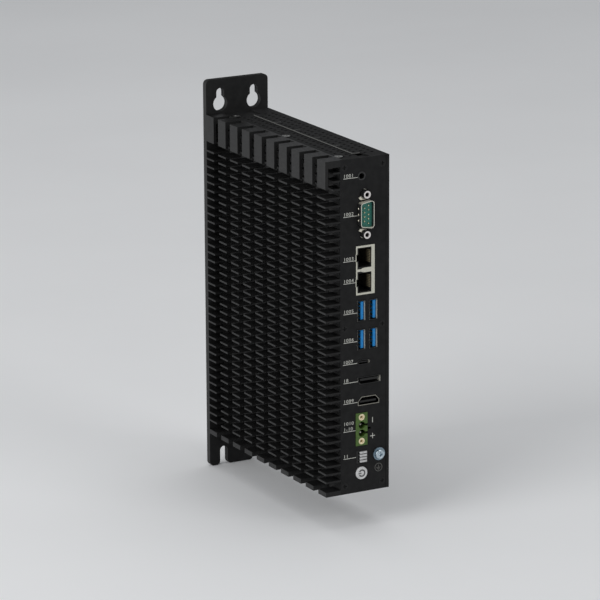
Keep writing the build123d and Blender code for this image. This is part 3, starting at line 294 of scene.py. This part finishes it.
# Painted highlight: a grey finish for the strips that stand for the light on the cut edges.
painted_edge_highlight, tree, shader, place = blank_finish("painted_edge_highlight")
tint(tree, shader, grain(tree, place, 1200), (0.12, 0.12, 0.116), (0.22, 0.22, 0.21))
sheen_span(tree, shader, grain(tree, place, 2400), 0.4, 0.6)
relief(tree, shader, grain(tree, place, 4000), 0.00001)
cover_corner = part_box("side_cover")[1]
edge_low, edge_high = cover_corner.z - 0.0006, cover_corner.z - 0.00003


def edge_strip(start, end, lift):
    """Strip along a cut edge: nine points from start to end, between the edge's two heights, made a
    slab by the lift."""
    share = np.linspace(0, 1, 9)[None, :]
    place_x = start[0] + share * (end[0] - start[0])
    place_y = start[1] + share * (end[1] - start[1])
    height = np.array([edge_low, edge_high])[:, None]
    points = [place_x + 0 * height, place_y + 0 * height, height + 0 * share]
    return slab(np.stack(points, -1), lift)


panel_face_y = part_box("front_panel")[0].y
flange_x = cover_corner.x - 0.0179
step_x = flange_x + 0.0053
front_step_y = panel_face_y + 0.0136
rear_step_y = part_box("mounting_plate")[0].y - 0.0144
slit_start_x, slit_end_x, slit_half = flange_x + 0.0001, flange_x + 0.0051, 0.0005
first_slit_y, slit_pitch = front_step_y + 0.0233, 0.0253
side_lift, front_lift = (-0.00003, 0, 0), (0, -0.00003, 0)
edge_grids = edge_strip((flange_x, rear_step_y), (flange_x, front_step_y), side_lift)
edge_grids += edge_strip((flange_x, front_step_y), (step_x, front_step_y), front_lift)
for row in range(4):
    strip_y = first_slit_y + row * slit_pitch + slit_half
    edge_grids += edge_strip((slit_start_x, strip_y), (slit_end_x, strip_y), front_lift)
build_piece("painted_edge_highlights", edge_grids, painted_edge_highlight, "case")


# Countersunk screws: black steel heads flush with the sheet, each with a cross recess. Six hold the
# panel, four the side cover and four the mounting plate.
def disc_grid(radius, steps):
    """Square grid pulled out to a disc: across = u * sqrt(1 - v*v/2) and up = v * sqrt(1 - u*u/2)."""
    u, v = np.meshgrid(steps, steps)
    return radius * u * np.sqrt(1 - v * v / 2), radius * v * np.sqrt(1 - u * u / 2)


def both_sides(half):
    """Steps on both sides of the middle: minus the half in reverse, then 0, then the half."""
    return np.concatenate([-np.array(half)[::-1], [0], half])


def cross_depth(across, up, reach, half_width, depth):
    """Depth of a cross recess: how far a point is inside either arm, as a steep ramp down to a flat
    floor. Inside an arm is the smaller of reach - |one way| and half_width - |the other way|."""
    along = np.minimum(reach - np.abs(across), half_width - np.abs(up))
    over = np.minimum(reach - np.abs(up), half_width - np.abs(across))
    return depth * np.clip(np.maximum(along, over) / (0.25 * half_width), 0, 1)


def stand(origin, out, across, up, height):
    """Points in space: the origin, plus across and up in the face, plus the height along the way out."""
    out = np.array(out, float)
    rise = np.array((0, 0, 1.0)) if abs(out[2]) < 0.5 else np.array((0, 1.0, 0))
    aside = np.cross(rise, out)
    return np.array(origin) + across[..., None] * aside + up[..., None] * rise + height[..., None] * out


def rim_rings(origin, out, across, up, shares, heights):
    """Rings that carry on from a face: each is the face's rim times a share, at a height of its own."""
    ring_across, ring_up = rim_of(across), rim_of(up)
    shares = np.array(shares)[:, None]
    heights = np.array(heights)[:, None] + 0 * ring_across
    return stand(origin, out, shares * ring_across, shares * ring_up, heights), True


def cross_screw(origin, out, head, shank, length, cone, dome=0.0):
    """Grids of one screw: a disc face that rises by dome * (1 - reach * reach), with the cross pressed
    into it, then rings down the head and the shank."""
    arm_half, arm_reach, arm_depth = 0.13, 0.58, 0.3
    steps = both_sides([0.75 * arm_half, arm_half, 0.3, 0.55, 0.6, 0.82, 1])
    across, up = disc_grid(head, steps)
    reach = np.hypot(across, up) / head
    cross = cross_depth(across, up, arm_reach * head, arm_half * head, arm_depth * head)
    face = stand(origin, out, across, up, dome * (1 - reach ** 2) - cross)
    shares, heights = [1, shank / head, shank / head, 0], [0, -cone, -length, -length]
    return [(face, False), rim_rings(origin, out, across, up, shares, heights)]


def solid_centres(node):
    """Middle of each separate solid of a node: its loose points are walked outwards from edge to edge."""
    shape = bmesh.new()
    shape.from_mesh(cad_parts[node].data)
    bmesh.ops.remove_doubles(shape, verts=shape.verts, dist=1e-7)
    left, centres = set(shape.verts), []
    while left:
        group, edge = set(), [left.pop()]
        while edge:
            point = edge.pop()
            group.add(point)
            near = [line.other_vert(point) for line in point.link_edges]
            edge.extend(other for other in near if other in left)
            left.difference_update(near)
        corners = np.array([point.co for point in group])
        centres.append((corners.min(0) + corners.max(0)) / 2)
    shape.free()
    return centres


black_screw, tree, shader, place = blank_finish("black_screw")
screw_grain = grain(tree, place, 2600, detail=3.0)
tint(tree, shader, screw_grain, (0.009, 0.009, 0.009), (0.014, 0.014, 0.014))
sheen_span(tree, shader, screw_grain, 0.45, 0.6)
relief(tree, shader, screw_grain, 0.00002)
shader.inputs["Specular IOR Level"].default_value = 0.2

wall_face_y = 0.0
panel_grids, cover_grids, plate_grids = [], [], []
for centre in solid_centres("panel_screws"):
    origin = (centre[0], panel_face_y, centre[2])
    panel_grids += cross_screw(origin, (0, -1, 0), head=0.0023, shank=0.0015, length=0.008, cone=0.0008)
for centre in solid_centres("side_cover_screws"):
    origin = (cover_corner.x, centre[1], centre[2])
    cover_grids += cross_screw(origin, (1, 0, 0), head=0.00225, shank=0.00125, length=0.004, cone=0.001)
for centre in solid_centres("mounting_plate_screws"):
    origin = (centre[0], wall_face_y, centre[2])
    plate_grids += cross_screw(origin, (0, 1, 0), head=0.0036, shank=0.002, length=0.011, cone=0.0016)
panel_set = build_piece("panel_screw_set", panel_grids, black_screw, "case")
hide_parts("panel_screws")
cover_set = build_piece("side_cover_screw_set", cover_grids, black_screw, "case")
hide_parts("side_cover_screws")
plate_set = build_piece("plate_screw_set", plate_grids, black_screw, "case")
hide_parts("mounting_plate_screws")


# Case screws: bright pan heads sunk to the level of the cover, on the top and bottom edges of the
# heat sink. They are zinc plated steel with a cross recess.
def plated(name, low, high, smooth, rough, gleam=1.0):
    """Plated metal: a mottled colour, a roughness that wanders, and hairline scratches."""
    material, tree, shader, place = blank_finish(name)
    mottle = grain(tree, place, 700)
    tint(tree, shader, mottle, low, high)
    sheen_span(tree, shader, mottle, smooth, rough)
    relief(tree, shader, grain(tree, place, 5200, (0.25, 1, 1), 2.0), 0.000006)
    shader.inputs["Metallic"].default_value = gleam
    return material


bright_zinc = plated("bright_zinc", (0.20, 0.20, 0.195), (0.32, 0.32, 0.31), 0.3, 0.45)
case_dome = 0.0003
case_rim_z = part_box("case_screws")[1].z - case_dome
case_grids = []
for centre in solid_centres("case_screws"):
    way = 1 if centre[2] > 0 else -1
    origin = (centre[0], centre[1], way * case_rim_z)
    case_grids += cross_screw(origin, (0, 0, way), head=0.0027, shank=0.0015, length=0.0066,
                              cone=0.0006, dome=case_dome)
case_set = build_piece("case_screw_set", case_grids, bright_zinc, "case")
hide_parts("case_screws")


# Legends: a number beside each port and a line that runs from it to the port, screen printed on the
# panel in pale grey ink. The signs of the power header and of the earth screw are printed too.
pale_ink, tree, shader, place = blank_finish("pale_ink")
ink_grain = grain(tree, place, 3000, detail=2.0)
tint(tree, shader, ink_grain, (0.50, 0.50, 0.455), (0.64, 0.64, 0.585))
sheen_span(tree, shader, ink_grain, 0.5, 0.7)
relief(tree, shader, ink_grain, 0.00001)
ink_height = 0.00003


def ink_bar(x_start, x_end, z_start, z_end):
    """Rectangle of ink on the panel between two corners."""
    across, up = np.meshgrid(np.array([x_start, x_end]), np.array([z_start, z_end]))
    under = np.stack([across, np.full_like(across, panel_face_y), up], -1)
    return slab(under, (0, -ink_height, 0))


def turned(origin, out, radii, heights, sides=24):
    """Turned piece: each ring has a radius and a height, and the angle runs once round it."""
    angle = np.linspace(0, 2 * pi, sides, endpoint=False)[None, :]
    radii, heights = np.array(radii)[:, None], np.array(heights)[:, None]
    across, up = radii * np.cos(angle), radii * np.sin(angle)
    return [(stand(origin, out, across, up, heights + 0 * angle), True)]


millimetre = 0.001
line_half = 0.00017
line_places = millimetre * np.array([
    (-9.75, 0.4, 93.55), (-9.8, 0.2, 69.8), (-9.8, -1.3, 41.9), (-9.8, -1.3, 28.2),
    (-9.8, 0.0, 9.0), (-9.8, 0.0, -9.0), (-10.2, -0.4, -22.8), (-9.9, 0.2, -34.5),
    (-9.9, 0.2, -47.7), (-9.9, -1.5, -65.5), (-10.0, -1.1, -82.8),
])
line_grids = []
for x_start, x_end, z_middle in line_places:
    line_grids += ink_bar(x_start, x_end, z_middle - line_half, z_middle + line_half)
mark_x, mark_half, mark_thin = 0.01055, 0.0017, 0.00022
minus_z, plus_z = -0.0603, -0.0705
for mark_z in (minus_z, plus_z):
    line_grids += ink_bar(mark_x - mark_thin, mark_x + mark_thin, mark_z - mark_half, mark_z + mark_half)
for start, end in ((-mark_half, -mark_thin), (mark_thin, mark_half)):
    line_grids += ink_bar(mark_x + start, mark_x + end, plus_z - mark_thin, plus_z + mark_thin)
build_piece("legend_lines", line_grids, pale_ink, "case")

grey_ink, tree, shader, place = blank_finish("grey_ink")
tint(tree, shader, grain(tree, place, 3000, detail=2.0), (0.10, 0.10, 0.09), (0.15, 0.15, 0.14))
shader.inputs["Roughness"].default_value = 0.65
earth_x, earth_z, ring_inner, ring_outer = 0.01478, -0.09144, 0.00235, 0.00265
stem_half, stem_top, bar_thick = 0.00013, 0.0016, 0.00026
earth_bars = [(0.0, 0.0015), (0.00065, 0.001), (0.0013, 0.0005)]
ring_radii = [ring_inner, ring_inner, ring_outer, ring_outer, ring_inner]
ring_heights = [0, ink_height, ink_height, 0, 0]
earth_grids = turned((earth_x, panel_face_y, earth_z), (0, -1, 0), ring_radii, ring_heights, sides=40)
earth_grids += ink_bar(earth_x - stem_half, earth_x + stem_half, earth_z, earth_z + stem_top)
for bar_drop, bar_half in earth_bars:
    bar_z = earth_z - bar_drop
    earth_grids += ink_bar(earth_x - bar_half, earth_x + bar_half, bar_z - bar_thick, bar_z)
build_piece("earth_sign", earth_grids, grey_ink, "case")

number_height, number_rise = 0.0021, 0.00055
height_share, width_share = 0.7, 1.1
numbers = ["1001", "1002", "1003", "1004", "1005", "1006", "1007", "18", "1009", "1-10", "11"]
number_places = [(number, line[0], line[2] + number_rise) for number, line in zip(numbers, line_places)]
number_places.append(("1010", -0.0099, -0.0614))
on_panel = Matrix.Rotation(pi / 2, 4, "X") @ Matrix.Diagonal((width_share, 1, 1, 1))
joined = bmesh.new()
for number, x_start, z_foot in number_places:
    curve = bpy.data.curves.new("number", "FONT")
    curve.body = number
    curve.size = number_height / height_share
    curve.space_character = 1.12
    curve.extrude = ink_height / 2
    curve.resolution_u = 3
    word = bpy.data.objects.new("number", curve)
    bpy.context.scene.collection.objects.link(word)
    bpy.context.view_layer.update()
    mesh = bpy.data.meshes.new_from_object(word)
    spot = Vector((x_start, panel_face_y - ink_height / 2, z_foot))
    mesh.transform(Matrix.Translation(spot) @ on_panel)
    joined.from_mesh(mesh)
    bpy.data.objects.remove(word)
bmesh.ops.remove_doubles(joined, verts=joined.verts, dist=1e-7)
number_mesh = bpy.data.meshes.new("legend_numbers")
joined.to_mesh(number_mesh)
joined.free()
number_mesh.materials.append(pale_ink)
legend_numbers = bpy.data.objects.new("legend_numbers", number_mesh)
bpy.context.scene.collection.objects.link(legend_numbers)
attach(legend_numbers, "case")


# Audio jack: a moulded black body, soldered to the port board. Its round collar stands in the panel
# about the plug bore.
def moulded(name, low, high, smooth=0.42, rough=0.55):
    """Moulded plastic: a faint mottle, and the fine sparkle that the tool leaves on it."""
    material, tree, shader, place = blank_finish(name)
    spark = grain(tree, place, 3500, detail=2.0)
    tint(tree, shader, grain(tree, place, 500), low, high)
    sheen_span(tree, shader, spark, smooth, rough)
    relief(tree, shader, spark, 0.00001)
    shader.inputs["Specular IOR Level"].default_value = 0.4
    return material


black_plastic = moulded("black_plastic", (0.006, 0.006, 0.006), (0.011, 0.011, 0.011))
collar_plastic = moulded("collar_plastic", (0.017, 0.017, 0.017), (0.026, 0.026, 0.026))
dress(black_plastic, "audio_jack", "push_switch")
audio_low, audio_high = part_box("audio_jack")
audio_middle = ((audio_low.x + audio_high.x) / 2, audio_low.y, (audio_low.z + audio_high.z) / 2)
collar_radii = [0.00182, 0.00182, 0.0020, 0.0021, 0.00225, 0.00235, 0.0027, 0.00275, 0.00275, 0.00182]
collar_heights = [0, 0.0001, 0.00018, 0.00018, 0.00008, 0.00008, 0.00008, 0.00004, 0, 0]
collar_grids = turned(audio_middle, (0, -1, 0), collar_radii, collar_heights, sides=48)
build_piece("audio_ring", collar_grids, collar_plastic, "case")


# Serial port: a nickel plated D shell, drawn from sheet with three dimples in its side, round a teal
# insert with nine gilt pins. Two hexagonal jack screws hold it, with a pale tab beside each.
def deeper_than(tree, place, start_y, end_y):
    """Number that rises from 0 to 1 as a point lies from start_y to end_y, in metres into the case."""
    split = tree.nodes.new("ShaderNodeSeparateXYZ")
    tree.links.new(place, split.inputs["Vector"])
    depth = tree.nodes.new("ShaderNodeMapRange")
    depth.inputs["From Min"].default_value = start_y
    depth.inputs["From Max"].default_value = end_y
    tree.links.new(split.outputs["Y"], depth.inputs["Value"])
    return depth.outputs["Result"]


def shell_finish(name, way, shade, low, high, gleam=1.0, edge_y=-1.0):
    """Plated sheet with painted light: bright, from low to high, on the faces that look along the way, and
    painted dull as the shade on the others and on what lies before edge_y."""
    material, tree, shader, place = blank_finish(name)
    edge_blend = 0.00005
    # Painted light and shade: the facing value, cut to shade before edge_y, picks the colour.
    inside = tree.nodes.new("ShaderNodeMath")
    inside.operation = "MULTIPLY"
    tree.links.new(facing(tree, place, way, 900), inside.inputs[0])
    tree.links.new(deeper_than(tree, place, edge_y, edge_y + edge_blend), inside.inputs[1])
    colour_steps(tree, shader, inside.outputs["Value"], [(0.55, shade), (0.95, low), (1.0, high)])
    sheen_span(tree, shader, grain(tree, place, 700), 0.24, 0.38)
    relief(tree, shader, grain(tree, place, 5200, (0.25, 1, 1), 2.0), 0.000006)
    shader.inputs["Metallic"].default_value = gleam
    return material


# Painted light: the shell's faces that look to the front and up are painted cream, its sides painted dark.
serial_plate = shell_finish("serial_plate", (0, -1, 0.9), (0.03, 0.03, 0.03),
                            (0.66, 0.63, 0.52), (0.78, 0.76, 0.66), gleam=0.4)
teal_plastic = moulded("teal_plastic", (0.026, 0.150, 0.118), (0.038, 0.205, 0.160))
dress(serial_plate, "serial_shell")
dress(teal_plastic, "serial_insert")

shell_wall, dimple_set_back = 0.0004, 0.0007
dimple_half_width, dimple_half_height, dimple_bulge, dimple_foot = 0.0005, 0.00075, 0.0003, 0.0001
dimple_rows = [-0.0037, 0, 0.0037]
serial_low, serial_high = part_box("serial_insert")
serial_middle_z = (serial_low.z + serial_high.z) / 2
disc_across, disc_up = disc_grid(1, np.linspace(-1, 1, 7))
dimple_across, dimple_up = dimple_half_width * disc_across, dimple_half_height * disc_up
dimple_rise = dimple_bulge * (1 - np.hypot(disc_across, disc_up) ** 2)
dimple_grids = []
for row_rise in dimple_rows:
    origin = (serial_low.x - shell_wall, panel_face_y - dimple_set_back, serial_middle_z + row_rise)
    dimple_grids.append((stand(origin, (-1, 0, 0), dimple_across, dimple_up, dimple_rise), False))
    dimple_grids.append(rim_rings(origin, (-1, 0, 0), dimple_across, dimple_up,
                                  [1, 1, 0], [0, -dimple_foot, -dimple_foot]))
dimple_metal = plated("dimple_metal", (0.70, 0.66, 0.54), (0.84, 0.80, 0.68), 0.4, 0.55)
build_piece("shell_dimples", dimple_grids, dimple_metal, "case")

pin_radius, pin_round = 0.00046, 0.00045
pin_low, pin_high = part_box("serial_pins")
pin_length = pin_high.y - pin_low.y
tip_angle = np.linspace(0, pi / 2, 5)[:-1]
pin_radii = [0, pin_radius, *(pin_radius * np.cos(tip_angle)), 0]
pin_heights = [0, 0, *(pin_length - pin_round + pin_round * np.sin(tip_angle)), pin_length]
pin_grids = []
for centre in solid_centres("serial_pins"):
    pin_foot = (centre[0], pin_high.y, centre[2])
    pin_grids += turned(pin_foot, (0, -1, 0), pin_radii, pin_heights, sides=12)
pale_gilt = plated("pale_gilt", (0.78, 0.68, 0.44), (0.90, 0.82, 0.60), 0.3, 0.45)
pin_set = build_piece("serial_pin_set", pin_grids, pale_gilt, "case")
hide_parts("serial_pins")


def hex_nut(origin, out, flats, height, bore, bottom, shank, tail):
    """Hexagonal jack screw: each ring is the smaller of a turned limit and the hexagon, which is
    flats / 2 / cos(angle from the middle of its side). The bore goes in and out as a thread does."""
    thread_depth, thread_step, lead_in = 0.00007, 0.0004, 0.0003
    face_radius, corner_drop, no_limit = flats / 2 * 0.98, 0.0006, 1
    angle = np.linspace(0, 2 * pi, 48, endpoint=False)
    hexagon = flats / 2 / np.cos((angle + pi / 6) % (pi / 3) - pi / 6)
    thread = np.arange(9)
    thread_radii = bore + thread_depth * (thread % 2)
    thread_heights = height - lead_in - thread * thread_step
    limits = [0, shank, shank, no_limit, no_limit, face_radius, bore + lead_in, *thread_radii, bore, 0]
    heights = [-tail, -tail, 0, 0, height - corner_drop, height, height, *thread_heights, bottom, bottom]
    rings = np.minimum(hexagon[None, :], np.array(limits)[:, None])
    heights = np.array(heights)[:, None] + 0 * rings
    return [(stand(origin, out, rings * np.cos(angle), rings * np.sin(angle), heights), True)]


# Painted light: the nuts' faces that look to the front are painted bright, their sides painted dark.
nut_steel = shell_finish("nut_steel", (0, -1, 0), (0.05, 0.05, 0.05),
                         (0.62, 0.58, 0.56), (0.80, 0.76, 0.74), gleam=0.75)
nut_back_y = panel_face_y + 0.0015
nut_grids = []
for centre in solid_centres("serial_jack_screws"):
    origin = (centre[0], nut_back_y, centre[2])
    nut_grids += hex_nut(origin, (0, -1, 0), flats=0.0048, height=0.005, bore=0.00115,
                         bottom=0.0005, shank=0.00145, tail=0.004)
nut_pair = build_piece("jack_screw_pair", nut_grids, nut_steel, "case")
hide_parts("serial_jack_screws")


def flange_ear(centre, way):
    """Domed tab, a sector about a jack screw: angle and radius run in even steps, and its height is
    edge + bulge * sin(pi * radius share) * sin(pi * angle share), so that its middle is highest."""
    start_angle, angle_span = 86, 66
    inner, widest, flat_top = 0.00282, 0.0047, 0.00355
    edge, bulge = 0.0007, 0.0009
    angle_share, share = np.meshgrid(np.linspace(0, 1, 13), np.linspace(0, 1, 7))
    angle = np.radians(start_angle + angle_span * angle_share)
    radius = inner + share * (np.minimum(widest, flat_top / np.sin(angle)) - inner)
    across, up = radius * np.cos(angle), way * radius * np.sin(angle)
    under = np.stack([centre[0] + across, panel_face_y + 0 * share, centre[2] + up], -1)
    dome = edge + bulge * np.sin(pi * share) * np.sin(pi * angle_share)
    return slab(under, np.stack([0 * dome, -dome, 0 * dome], -1))


ear_plate = plated("ear_plate", (0.66, 0.63, 0.52), (0.80, 0.77, 0.66), 0.4, 0.55, gleam=0.3)
ear_grids = []
for centre in solid_centres("serial_jack_screws"):
    ear_grids += flange_ear(centre, 1 if centre[2] < serial_middle_z else -1)
build_piece("flange_ears", ear_grids, ear_plate, "case")


# Network port: two sockets in one cage of tinned sheet, soldered to the port board, over a moulded
# black insert. The gilt spring contacts in both are painted darker as they lie deeper, as painted shade.
pale_cage = plated("pale_cage", (0.60, 0.59, 0.50), (0.72, 0.71, 0.62), 0.35, 0.5)
dress(pale_cage, "network_cage")
dress(black_plastic, "network_insert")
bright_y, dark_y = panel_face_y + 0.001, panel_face_y + 0.0055
# Painted shade: the contacts run from gilt at bright_y to near black at dark_y.
contact_gilt, tree, shader, place = blank_finish("contact_gilt")
contact_depth = deeper_than(tree, place, bright_y, dark_y)
colour_steps(tree, shader, contact_depth, [(0.0, (0.62, 0.53, 0.33)), (1.0, (0.05, 0.04, 0.025))])
sheen_span(tree, shader, grain(tree, place, 1500), 0.4, 0.6)
shader.inputs["Metallic"].default_value = 0.5
dress(contact_gilt, "network_contacts")


# Data ports: two rows of two folded steel sleeves, soldered to the port board, with moulded blue
# tongues and gilt contacts. Behind their mouths, the walls that look to the fin side are painted bright
# as painted light, and the mouths and the other walls painted dark as painted shade.
blue_plastic = moulded("blue_plastic", (0.003, 0.185, 0.51), (0.006, 0.25, 0.64))
# Painted light and shade: walls that look to the fin side, behind the mouth, are painted bright.
side_plate = shell_finish("side_plate", (-1, 0, 0), (0.008, 0.008, 0.008),
                          (0.62, 0.60, 0.52), (0.74, 0.72, 0.64), gleam=0.15, edge_y=panel_face_y)
gilt = plated("gilt", (0.78, 0.58, 0.26), (0.90, 0.70, 0.36), 0.18, 0.3)
dress(side_plate, "upper_data_sleeves", "lower_data_sleeves")
dress(blue_plastic, "upper_data_tongues", "lower_data_tongues")
dress(gilt, "upper_data_contacts", "lower_data_contacts")


# Small reversible port, wide display port and video port: steel shells drawn in one piece, soldered
# to the port board, each round a moulded black tongue.
# Painted light: the video shell's faces that look to the front are painted grey, the rest painted dark.
rim_plate = shell_finish("rim_plate", (0, -1, 0), (0.02, 0.02, 0.02),
                         (0.22, 0.21, 0.18), (0.32, 0.31, 0.27))
# Painted light and shade: these two shells take the same painted light as the data sleeves.
dress(side_plate, "reversible_port_shell", "display_port_shell")
dress(rim_plate, "video_port_shell")
dress(black_plastic, "reversible_port_tongue", "display_port_tongue", "video_port_tongue")


# Power header: a moulded green block with two pins in round pockets, soldered to the port board. The
# plug is screwed to two brass bushes, whose threads are added here.
green_plastic = moulded("green_plastic", (0.050, 0.105, 0.016), (0.078, 0.145, 0.026))
brass = plated("brass", (0.78, 0.66, 0.42), (0.92, 0.80, 0.56), 0.25, 0.4)
dark_pin = plated("dark_pin", (0.34, 0.34, 0.30), (0.46, 0.46, 0.41), 0.35, 0.5)
dress(green_plastic, "power_header")
dress(dark_pin, "power_pins")
dress(brass, "power_bushes")
bush_wall, bush_crest, bush_thread = 0.00105, 0.00088, 0.00015
bush_mouth, first_turn, turn_step, bush_end = -0.0003, -0.0004, 0.00022, -0.0030
bush_mouth_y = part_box("power_bushes")[0].y
half_turn = np.arange(12)
thread_radii = [bush_wall, *(bush_crest + bush_thread * (half_turn % 2)), bush_wall, bush_wall]
thread_heights = [bush_mouth, *(first_turn - turn_step * half_turn), bush_end, bush_mouth]
thread_grids = []
for centre in solid_centres("power_bushes"):
    origin = (centre[0], bush_mouth_y, centre[2])
    thread_grids += turned(origin, (0, -1, 0), thread_radii, thread_heights, sides=32)
build_piece("bush_threads", thread_grids, brass, "case")


# Switch: a moulded black block, soldered to the port board, with four moulded white levers. Each
# lever is free to slide in its own slot.
white_plastic = moulded("white_plastic", (0.48, 0.48, 0.48), (0.60, 0.60, 0.60))
dress(black_plastic, "switch_block")
dress(white_plastic, "switch_lever_1", "switch_lever_2", "switch_lever_3", "switch_lever_4")


# Power button: a moulded silver grey cap, held behind the panel by its flange. It has a raised rim,
# and the sign is printed in its middle.
grey_button = moulded("grey_button", (0.55, 0.55, 0.55), (0.68, 0.68, 0.68), 0.3, 0.42)
dress(grey_button, "power_button")
button_low, button_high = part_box("power_button")
button_x, button_z = (button_low.x + button_high.x) / 2, (button_low.z + button_high.z) / 2
button_face = (button_x, button_low.y, button_z)
rim_radii = [0.0027, 0.0028, 0.0030, 0.0034, 0.0036, 0.0036, 0.0027]
rim_heights = [0, 0.00012, 0.00018, 0.00018, 0.0001, 0, 0]
rim_grids = turned(button_face, (0, -1, 0), rim_radii, rim_heights, sides=48)
build_piece("button_rim", rim_grids, grey_button, "power_button")


def sign_slab(across, up):
    """Slab of ink on the button over a grid of places, counted from its middle."""
    under = np.stack([button_x + across, 0 * across + button_low.y, button_z + up], -1)
    return slab(under, (0, -sign_height, 0))


sign_inner, sign_outer, sign_gap, sign_height = 0.0015, 0.0024, 0.5, 0.00005
stroke_end, stroke_half = 0.0004, 0.0003
arc_angle = np.linspace(-pi + sign_gap, pi - sign_gap, 33)
angle, radius = np.meshgrid(arc_angle, np.array([sign_inner, sign_outer]))
stroke_x, stroke_z = np.meshgrid(np.array([-sign_outer, -stroke_end]), np.array([-stroke_half, stroke_half]))
sign_grids = sign_slab(radius * np.cos(angle), radius * np.sin(angle)) + sign_slab(stroke_x, stroke_z)
sign_ink = moulded("sign_ink", (0.07, 0.07, 0.07), (0.10, 0.10, 0.10), 0.5, 0.65)
build_piece("button_sign", sign_grids, sign_ink, "power_button")


# Earth terminal: a pan head screw in blue zinc plated steel, its face a little domed round a cross
# recess, on a washer in front of the panel and held by a nut behind it.
blue_zinc = plated("blue_zinc", (0.40, 0.50, 0.56), (0.62, 0.70, 0.76), 0.22, 0.36)
dark_zinc = plated("dark_zinc", (0.16, 0.22, 0.27), (0.30, 0.38, 0.44), 0.3, 0.45)
dress(dark_zinc, "ground_washer", "ground_nut")
earth_low, earth_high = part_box("ground_screw")
washer_thickness, face_dome, recess_depth = 0.0009, 0.00025, 0.0011
earth_head = (earth_high.x - earth_low.x) / 2
face_radius = 0.86 * earth_head
head_height = panel_face_y - washer_thickness - earth_low.y
earth_length = earth_high.y - earth_low.y
head_front = (earth_low.x + earth_head, earth_low.y, (earth_low.z + earth_high.z) / 2)
across, up = disc_grid(face_radius, both_sides([0.12, 0.17, 0.4, 0.58, 0.62, 0.85, 1]))
dome = face_dome * (1 - (np.hypot(across, up) / face_radius) ** 2)
recess = cross_depth(across, up, 0.5 * earth_head, 0.15 * earth_head, recess_depth)
side_shares = [1, 1.1, 1.16, 1.16, 0.55, 0.55, 0]
side_heights = [-face_dome, -0.00045, -0.0008, -head_height, -head_height, -earth_length, -earth_length]
head_grids = [
    (stand(head_front, (0, -1, 0), across, up, dome - face_dome - recess), False),
    rim_rings(head_front, (0, -1, 0), across, up, side_shares, side_heights),
]
earth_screw = build_piece("earth_screw", head_grids, blue_zinc, "case")
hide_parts("ground_screw")


# Boards and what stands on them: glass fibre board with a green lacquer, black chips and sockets, a
# bare aluminium block that carries the heat to the fins, and a coin cell.
board_green = moulded("board_green", (0.010, 0.055, 0.022), (0.018, 0.085, 0.035), 0.3, 0.45)
chip_grey = moulded("chip_grey", (0.014, 0.014, 0.015), (0.024, 0.024, 0.025))
pad_grey = moulded("pad_grey", (0.16, 0.17, 0.19), (0.22, 0.23, 0.25), 0.6, 0.75)
bare_aluminium = plated("bare_aluminium", (0.62, 0.63, 0.64), (0.74, 0.75, 0.76), 0.3, 0.45)
nickel = plated("nickel", (0.56, 0.55, 0.50), (0.70, 0.69, 0.64), 0.2, 0.34)
dress(board_green, "port_board", "main_board", "memory_module", "storage_card")
dress(chip_grey, "board_link", "memory_socket", "storage_socket")
dress(chip_grey, "processor", "power_coils", "battery_holder")
dress(pad_grey, "thermal_pad")
dress(bare_aluminium, "heat_block", "capacitors")
dress(nickel, "clock_battery", "board_posts", "board_screws", "port_board_spacers", "mounting_plate_nuts")
